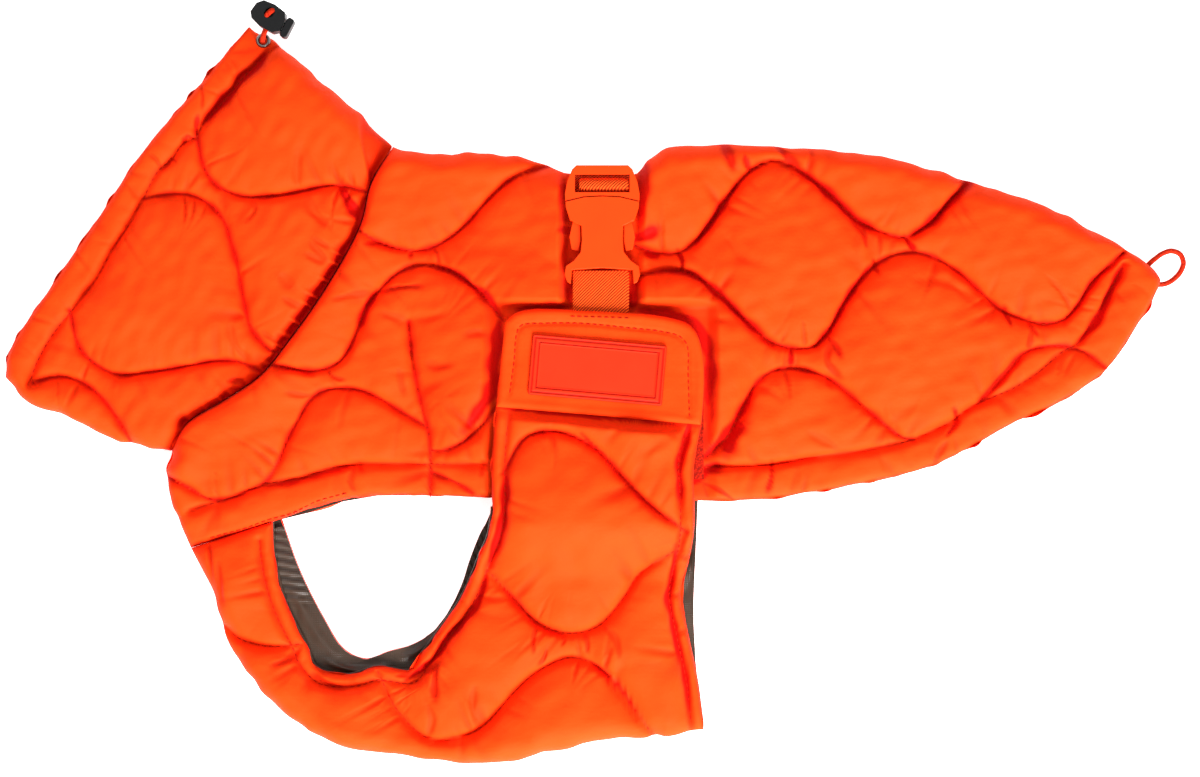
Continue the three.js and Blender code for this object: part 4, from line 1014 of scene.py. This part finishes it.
collar_far = half_shell("collar_far_half", collar_plan, far_outer(no_lift), level_over(FAR_WALL, no_lift), no_lift,
                        collar_folds, [], steps(60, 185, True, True, turn=6), steps(24, 85, False), (2, 2),
                        (0.022, 0.022, 0), neck_shift, cloths, [evenly(RIM, spacing=3.0)])
belly_folds = [evenly(BELLY_FOLD, spacing=2.0)]
belly = half_shell("belly_quilted", belly_plans[0], belly_top, lambda xy: belly_inside(xy[:, 0], xy[:, 1]), no_lift,
                   belly_folds, [evenly(NEAR_LEG, spacing=3.0), evenly(NEAR_REAR, spacing=3.0)],
                   steps(210, 75, True), steps(400, 330, False), (6, 8), (0.05, 0, 0), BELLY_SHIFT, cloths)
belly_far = half_shell("belly_far_half", belly_plans[1], far_outer(no_lift), far_flap_inside, no_lift, belly_folds,
                       [], steps(48, 75, True, turn=6), steps(120, 330, False), (2, 4), (0.05, 0, 0), BELLY_SHIFT,
                       cloths)
for piece, node in ((back, "back_panel"), (back_far, "back_panel"), (collar, "collar"), (collar_far, "collar"),
                    (belly, "belly_panel"), (belly_far, "belly_panel")):
    placed(piece, "shell_fabric", node)


# Stitching


def rows_of_thread(name, rows, length=2.1, width=0.62, gap=0.9):
    """Stitches laid end to end along rows of points in space: each is a spindle with five rings
    of six points."""
    share = np.array([-1, -0.6, 0, 0.6, 1])
    angle = np.linspace(0, 2 * np.pi, 6, endpoint=False)
    radius = width / 2 * np.sqrt(1 - 0.92 * share**2)
    local = np.stack([
        np.repeat(share * length / 2, 6),
        (radius[:, None] * np.cos(angle)).ravel(),
        (radius[:, None] * np.sin(angle)).ravel(),
    ], axis=1)
    numbers = np.arange(30).reshape(5, 6).T
    faces = np.vstack([quads(numbers, around=True)])
    caps = np.array([numbers[::-1, 0], numbers[:, -1]])
    points, sides, ends = [], [], []
    for row in rows:
        run = np.concatenate([[0], np.cumsum(np.linalg.norm(np.diff(row, axis=0), axis=1))])
        at = np.arange(length / 2, run[-1], length + gap)
        centre = np.stack([np.interp(at, run, row[:, k]) for k in range(3)], axis=1)
        ahead = np.stack([np.interp(at + 0.8, run, row[:, k]) for k in range(3)], axis=1)
        behind = np.stack([np.interp(at - 0.8, run, row[:, k]) for k in range(3)], axis=1)
        way = (ahead - behind) / np.linalg.norm(ahead - behind, axis=1, keepdims=True)
        across = np.cross(way, (0, 0, 1))
        across /= np.linalg.norm(across, axis=1, keepdims=True)
        up = np.cross(across, way)
        spindle = centre[:, None] + sum(local[None, :, k:k + 1] * axis[:, None] for k, axis in
                                        enumerate((way, across, up)))
        first = sum(map(len, points)) + 30 * np.arange(len(at))
        points.append(spindle.reshape(-1, 3))
        sides.append((faces[None] + first[:, None, None]).reshape(-1, 4))
        ends.append((caps[None] + first[:, None, None]).reshape(-1, 6))
    return solid(name, np.vstack(points), [(np.vstack(sides), 0), (np.vstack(ends), 0)], [thread])


def sewn(line, top, folds, middle, rise=0.1, shift=(0, 0)):
    """Row of points on the cloth along a stitch line, clear of the folds."""
    flat = evenly(line, spacing=0.9)
    if top is back_top:
        flat = flat[flat[:, 1] < np.interp(flat[:, 0], folds[0][:, 0], folds[0][:, 1]) - 1]
    distance = fold_distance(flat, folds)
    flat, distance = flat[distance > 3], distance[distance > 3]
    level = turned_under(top(flat)[0], middle(flat[:, 0], flat[:, 1]), distance)
    return np.column_stack([flat + np.asarray(shift), level + rise])


back_rows = [sewn(line, back_top, back_folds, lifted) for line in
             [*BACK_WAVES, *HEM_CASING, DART, HEM_TOPSTITCH]]
collar_rows = [sewn(line, collar_top, collar_folds, no_lift, shift=neck_shift) for line in
               [*COLLAR_WAVES, RIM_CASING]]
belly_rows = [sewn(line, belly_top, belly_folds, no_lift, shift=BELLY_SHIFT) for line in
              [*BELLY_WAVES, *BELLY_FAINT, leg_band[4:-22:4], rear_band[2:-8:4]]]
back_thread = placed(rows_of_thread("back_stitching", back_rows), "shell_fabric")
collar_thread = placed(rows_of_thread("collar_stitching", collar_rows), "shell_fabric")
belly_thread = placed(rows_of_thread("belly_stitching", belly_rows), "shell_fabric")


def leg_piping():
    """Thin satin edge that shows under the rim of the leg opening."""
    line = evenly(NEAR_LEG, spacing=1.5)
    line = line[line[:, 1] < -47]
    height = belly_inside(line[:, 0], line[:, 1]) + 0.7
    angle = np.linspace(0, 2 * np.pi, 8, endpoint=False)
    ring = 0.55 * np.stack([np.cos(angle), np.sin(angle)], axis=1)
    return along_path("leg_piping_satin", np.column_stack([line + BELLY_SHIFT, height]), ring, lining)


piping = placed(leg_piping(), "lining_fabric")


# Facing of the flap, badge, tape and lining


def inside_outline(outline, centre, rings):
    """Grid from an outline to a middle line: each ring is the outline drawn in by a share."""
    return centre + (outline[None] - centre) * rings[:, None, None]


facing_top = FLAP_INSIDE + STITCHED + LAYER_GAP + 0.2
rear_u = np.linspace(0.4, 1, 400)
rear_edge = belly_plans[0](rear_u, np.full(400, 0.998))
leg_v = np.linspace(1, 0.8, 400)[1:]
leg_edge = belly_plans[0](np.full(399, 0.998), leg_v)
facing_edge = evenly(np.vstack([rear_edge[rear_edge[:, 1] > -12], leg_edge[leg_edge[:, 1] > -4]])[::4], count=159)
low_edge = np.linspace(facing_edge[-1], facing_edge[0], 90)[1:-1]
facing_edge = np.vstack([facing_edge, low_edge]) + BELLY_SHIFT
FACING_STITCH = [(-33, 2), (-31, 17), (-30, 28), (-28, 32), (-18, 33), (-1, 33), (20, 31), (34, 29.5), (43, 27),
                 (46, 23), (46.5, 10), (47, -8)]


def facing_height(flat):
    distance, _, _ = nearest(flat, np.vstack([facing_edge, facing_edge[:1]]))
    row, run, _ = nearest(flat, evenly(FACING_STITCH, spacing=4.0))
    low = 0.75 * np.exp(-(row / 1.1) ** 2) + 0.16 * uneven(2.4 * run, 1) * np.exp(-row / 3)
    welt = 0.45 * np.exp(-((distance - 2.2) / 1.6) ** 2)
    return facing_top + 1.15 * rounded(distance, 1.6) + welt - low + 0.16 * ripples(flat, 18, 41) * rounded(distance, 6)


rings = 1 - np.linspace(0, 1, 61) ** 1.4
rings[-1] = 0.002
flat = inside_outline(facing_edge, np.array([8.0, 12.0]), rings)
level = facing_height(flat.reshape(-1, 2)).reshape(flat.shape[:2])
top = np.concatenate([flat, level[..., None]], axis=2)
bottom = np.concatenate([flat[:1], np.full((1, flat.shape[1], 1), facing_top)], axis=2)
facing_points = np.concatenate([bottom, top], axis=0)
numbers = np.arange(facing_points.shape[0] * facing_points.shape[1]).reshape(facing_points.shape[:2])
around = quads(numbers.T, around=True)
caps = [np.stack([row, np.roll(row, -1), np.full(len(row), numbers.size + k)], axis=1)
        for k, row in enumerate((numbers[0], numbers[-1]))]
facing_points = np.vstack([facing_points.reshape(-1, 3), [[8, 12, facing_top]], [[8, 12, level[-1, 0]]]])
facing = placed(solid("flap_facing_cloth", facing_points, [(around, 0), (np.vstack(caps), 0)], [shell]),
                "shell_fabric", "flap_facing")
facing_rows = []
for inset in (0, 1.8):
    flat = evenly(FACING_STITCH, spacing=0.9) + np.array([inset * 0.0, -inset * 0.0])
    facing_rows.append(np.column_stack([flat, facing_height(flat) + 0.12]))
    break
short = np.column_stack([np.linspace(-6, 20, 30), np.linspace(36.2, 35.4, 30)])
facing_rows.append(np.column_stack([short, facing_height(short) + 0.12]))
facing_thread = placed(rows_of_thread("facing_stitching", facing_rows), "shell_fabric")

BADGE = {"x": 6, "y": 12.3, "width": 60, "height": 27, "tilt": -5, "thick": 1.7}


def rounded_box(x, y, width, height, radius):
    """Distance inside the edge of a rectangle with round corners, below 0 outside it."""
    a, b = np.abs(x) - width / 2 + radius, np.abs(y) - height / 2 + radius
    return radius - np.hypot(np.maximum(a, 0), np.maximum(b, 0)) - np.minimum(np.maximum(a, b), 0)


def badge_points():
    """Rubber plate: a raised rim, two sunk frame lines and a slightly hollow bare field."""
    s, t = np.linspace(-1, 1, 241), np.linspace(-1, 1, 111)
    s, t = np.sign(s) * (1 - (1 - np.abs(s)) ** 1.25), np.sign(t) * (1 - (1 - np.abs(t)) ** 1.25)
    x, y = np.meshgrid(s * BADGE["width"] / 2, t * BADGE["height"] / 2, indexing="ij")
    corner = 1.2  # the grid's corners are drawn in to round corners
    a, b = np.abs(x) - BADGE["width"] / 2 + corner, np.abs(y) - BADGE["height"] / 2 + corner
    far = np.maximum(np.hypot(a, b), 1e-6)
    pull = np.where((a > 0) & (b > 0), np.minimum(np.maximum(a, b) / far, 1), 1)
    x = np.where((a > 0) & (b > 0), np.sign(x) * (BADGE["width"] / 2 - corner + a * pull), x)
    y = np.where((a > 0) & (b > 0), np.sign(y) * (BADGE["height"] / 2 - corner + b * pull), y)
    inside = rounded_box(x, y, BADGE["width"], BADGE["height"], corner)
    z = 0.9 + (BADGE["thick"] - 0.9) * rounded(inside, 0.7)
    # Painted shade at the foot of the rim and in the two sunk frame lines.
    painted_shade = 0.7 * (1 - smooth(inside, 0.1, 0.5))
    for at, deep, wide in ((1.4, 0.3, 0.45), (3.4, 0.45, 0.32)):
        line = np.exp(-((inside - at) / wide) ** 4)
        z = z - deep * line
        painted_shade = np.maximum(painted_shade, 0.8 * line)
    z = z - 0.25 * smooth(inside, 3.5, 4.4) + 0.05 * ripples(np.stack([x, y], axis=-1), 20, 5)
    turn = math.radians(BADGE["tilt"])
    place = [x * math.cos(turn) - y * math.sin(turn) + BADGE["x"], x * math.sin(turn) + y * math.cos(turn) + BADGE["y"]]
    base = facing_top + 1.0
    top = np.stack([*place, base + z], axis=-1)
    return top, np.stack([*place, np.full_like(z, base)], axis=-1), painted_shade


top, bottom, painted_shade = badge_points()
badge = placed(two_faced("badge_rubber_plate", top, bottom, badge_rubber, {"painted_shade": painted_shade}, sharp=40),
               "badge_rubber", "badge")

TAPE = {"left": 22, "right": 53.6, "top": 1, "bottom": -36.5, "thick": 1.2}
grid = np.stack(np.meshgrid(np.linspace(TAPE["left"], TAPE["right"], 64),
                            np.linspace(TAPE["bottom"], TAPE["top"], 84), indexing="ij"), axis=-1)
level = back_top(grid.reshape(-1, 2))[0].reshape(grid.shape[:2])
low = np.minimum(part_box("hook_loop_strip")[0].z * 1000, 99)
top = np.concatenate([grid, np.maximum(level + LAYER_GAP, low)[..., None] + TAPE["thick"]], axis=2)
bottom = np.concatenate([grid, np.maximum(level + LAYER_GAP, low)[..., None]], axis=2)
tape = placed(two_faced("loop_tape", top, bottom, tape_pile), "hook_loop_tape", "hook_loop_strip")


SATIN_FOLDS = [
    (1.5, 1.5, [(-118, -118), (-110, -121.5), (-100, -123.5), (-88, -121)]),
    (1.3, 2.8, [(-133, -84), (-125, -99), (-118, -110), (-110, -118)]),
    (1.2, 1.6, [(-84, -118), (-76, -115), (-68, -108), (-60, -98)]),
    (1.2, 1.2, [(-139, -56.5), (-126, -52), (-112, -48), (-100, -45)]),
]


def lining_points():
    """Satin over the inside of the far half: ridges along the leg opening and ribs 3 mm apart."""
    v = 0.012 + 0.982 * np.linspace(0, 1, 301)
    inset = (FOLD_WALL + 5) * share_of_millimetre(belly_plans[1], 0, v)
    u = inset + (1.01 - inset) * np.linspace(0, 1, 161)[:, None]
    flat = belly_plans[1](u, np.broadcast_to(v, u.shape))
    flat = flat[:, flat[..., 1].max(0) < 60]
    xy = flat.reshape(-1, 2)
    keep = smooth(flat[..., 1], -51.5, -54)
    edge = nearest(xy, evenly(FAR_LEG, spacing=3.0))[0]
    _, along, _ = nearest(xy, evenly(FAR_LEG, spacing=3.0))
    gathers = np.cos(2 * np.pi * (along + 0.6 * edge) / 4.4) * smooth(xy[:, 1], -98, -84)
    rise = 0.5 * gathers
    for height, wide, places in SATIN_FOLDS:
        distance, run, _ = nearest(xy, evenly(places, spacing=2.0))
        ends = np.sin(np.pi * np.clip(run / run.max(), 0.01, 0.99)) ** 0.6
        rise = rise + height * ends * np.exp(-(distance / (wide * (1 + 0.3 * uneven(run, 2)))) ** 2)
    rise = np.clip(rise * rounded(edge, 1.5), -0.5, 1.6).reshape(keep.shape)
    base = FAR_WALL + LAYER_GAP
    low = np.concatenate([flat, np.full_like(keep, base)[..., None]], axis=2)
    return np.concatenate([flat, (base + 0.15 + (0.75 + rise) * keep)[..., None]], axis=2), low


top, bottom = lining_points()
shown = (top[..., 1] < -52).any(0)
top[..., :2] += BELLY_SHIFT
bottom[..., :2] += BELLY_SHIFT
satin = placed(two_faced("belly_lining_satin", top[:, shown], bottom[:, shown], lining), "lining_fabric", "belly_lining")


# Webbing

STRAP = {"x": 7.6, "width": 25.2, "thick": 2.0}
FLAP_EDGE = 38.7
BUCKLE = {"x": 8.2, "bottom": 17.8, "thick": 9.0, "foot": 56.9}


def ribbon_section():
    """Flat section with round edges: a box 25.2 by 2 mm whose corners follow a superellipse."""
    angle = np.linspace(0, 2 * np.pi, 64, endpoint=False)
    c, s = np.cos(angle), np.sin(angle)
    across = np.sign(c) * np.abs(c) ** 0.35 * STRAP["width"] / 2
    return np.stack([across, np.sign(s) * np.abs(s) ** 0.8 * STRAP["thick"] / 2], axis=1)


def strap(name, places, node, x=STRAP["x"], narrowed=1.0):
    """Webbing along places given as y and z of its middle."""
    path = np.array([(x, y, z) for y, z in places])
    way = np.gradient(path, axis=0)
    way /= np.linalg.norm(way, axis=1, keepdims=True)
    up = np.cross((1.0, 0, 0), way)
    section = ribbon_section() * np.array([narrowed, 1.0])
    ring = path[:, None] + section[None, :, :1] * np.array([1.0, 0, 0]) + up[:, None] * section[None, :, 1:]
    numbers = np.arange(ring.shape[0] * len(section)).reshape(ring.shape[0], -1).T
    points = np.concatenate([ring.reshape(-1, 3), path[:1], path[-1:]])
    ends = [np.stack([row, np.roll(row, -1), np.full(len(row), centre)], axis=1)
            for row, centre in ((numbers[:, 0], len(points) - 2), (numbers[:, -1], len(points) - 1))]
    made = solid(name, points, [(quads(numbers, around=True), 0), (np.vstack(ends), 0)], [webbing])
    return placed(made, "webbing", node)


SLOT = {"x": 8.95, "width": 22.2}
strap("strap_webbing_loop", evenly([(97.05, 18.4), (97.0, 22.6), (96.5, 24.3), (94.8, 24.9), (93.0, 24.4), (92.5, 22.6),
                                    (92.45, 18.4)], count=36), "strap_upper", SLOT["x"], SLOT["width"] / STRAP["width"])
strap("strap_webbing_lower", evenly([(FLAP_EDGE - 1.5, FLAP_INSIDE + 1.4), (47, FLAP_INSIDE + 1.1),
                                     (BUCKLE["foot"] - LAYER_GAP, FLAP_INSIDE + 0.6)], count=30), "strap_lower")
turn = np.linspace(0, np.pi, 33)
TURN = {"y": 90.8, "z": MIDDLE + 2.8, "reach": 10.7, "up": 5.9, "down": MIDDLE + 0.8}
high = np.where(turn < np.pi / 2, TURN["up"], TURN["down"]) + 1
bend = np.column_stack([TURN["y"] + (TURN["reach"] + 1) * np.sin(turn), TURN["z"] + high * np.cos(turn)])
near_run = np.column_stack([np.linspace(86.5, 90.4, 5), np.full(5, bend[0, 1])])
far_run = np.column_stack([np.linspace(90.4, FLAP_EDGE + SEAM_GAP + 0.3, 24), np.full(24, bend[-1, 1])])
strap("strap_webbing_upper", np.vstack([near_run, bend, far_run]), "strap_upper")


# Moulded parts: the solids themselves with their edges rounded


def softened(node, name, material, width, segments=3):
    """Copy of a solid with its doubled points joined, flat faces whole and edges rounded."""
    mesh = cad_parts[node].data.copy()
    mesh.name = name
    work = bmesh.new()
    work.from_mesh(mesh)
    bmesh.ops.remove_doubles(work, verts=work.verts, dist=1e-6)
    bmesh.ops.dissolve_limit(work, angle_limit=math.radians(2), verts=work.verts, edges=work.edges)
    bmesh.ops.recalc_face_normals(work, faces=work.faces)
    work.to_mesh(mesh)
    work.free()
    for key in [a.name for a in mesh.attributes if a.name in ("custom_normal", "sharp_edge", "sharp_face")]:
        mesh.attributes.remove(mesh.attributes[key])
    mesh.materials.clear()
    mesh.materials.append(material)
    made = bpy.data.objects.new(name, mesh)
    bpy.context.scene.collection.objects.link(made)
    mesh.polygons.foreach_set("use_smooth", np.ones(len(mesh.polygons), bool))
    round_edges = made.modifiers.new("edges", "BEVEL")
    round_edges.width = width / 1000
    round_edges.segments = segments
    round_edges.limit_method = "ANGLE"
    round_edges.angle_limit = math.radians(35)
    round_edges.harden_normals = True
    return made


placed(softened("buckle_socket", "buckle_socket_acetal", buckle_plastic, 0.9), "buckle_plastic", "buckle_socket")
placed(softened("buckle_plug", "buckle_plug_acetal", buckle_plastic, 0.7), "buckle_plastic", "buckle_plug")
placed(softened("cord_lock_body", "cord_lock_nylon", lock_plastic, 0.6), "lock_plastic", "cord_lock_body")
placed(softened("cord_lock_button", "cord_lock_button_nylon", lock_plastic, 0.5), "lock_plastic", "cord_lock_button")
placed(softened("eyelet", "eyelet_brass", gunmetal, 0.12, 2), "eyelet_metal", "eyelet")


# Floor and light


def floor_board():
    """White board under the coat, lit from inside like a light table."""
    mesh = bpy.data.meshes.new("floor")
    mesh.from_pydata([(-3, -3, 0), (3, -3, 0), (3, 3, 0), (-3, 3, 0)], [], [(0, 1, 2, 3)])
    material = blank("opal_acrylic_light_table")
    shader = material.node_tree.nodes["Principled BSDF"]
    shader.inputs["Base Color"].default_value = colour("#fafafa")
    shader.inputs["Roughness"].default_value = 0.9
    shader.inputs["Emission Color"].default_value = (1, 1, 1, 1)
    shader.inputs["Emission Strength"].default_value = 0.8
    mesh.materials.append(material)
    board = bpy.data.objects.new("floor", mesh)
    bpy.context.scene.collection.objects.link(board)


floor_board()


def soft_light(name, place, size, power, aim=(0, 0, 0)):
    light = bpy.data.lights.new(name, "AREA")
    light.shape = "SQUARE"
    light.size = size
    light.energy = power
    lamp = bpy.data.objects.new(name, light)
    lamp.location = place
    way = np.array(aim) - np.array(place)
    lamp.rotation_euler = (math.atan2(math.hypot(way[0], way[1]), -way[2]), 0, math.atan2(way[0], -way[1]) + math.pi)
    bpy.context.scene.collection.objects.link(lamp)
    return lamp


from mathutils import Vector


def aimed(lamp, aim=(0, 0, 0)):
    lamp.rotation_euler = (Vector(aim) - lamp.location).to_track_quat("-Z", "Y").to_euler()


aimed(soft_light("key", (0.42, -1.14, 0.8), 0.7, 65))
aimed(soft_light("fill", (-0.5, 0.9, 1.5), 1.2, 11))
world = bpy.data.worlds.new("studio")
world.use_nodes = True
world.node_tree.nodes["Background"].inputs["Color"].default_value = (1, 1, 1, 1)
world.node_tree.nodes["Background"].inputs["Strength"].default_value = 0.44
bpy.context.scene.world = world
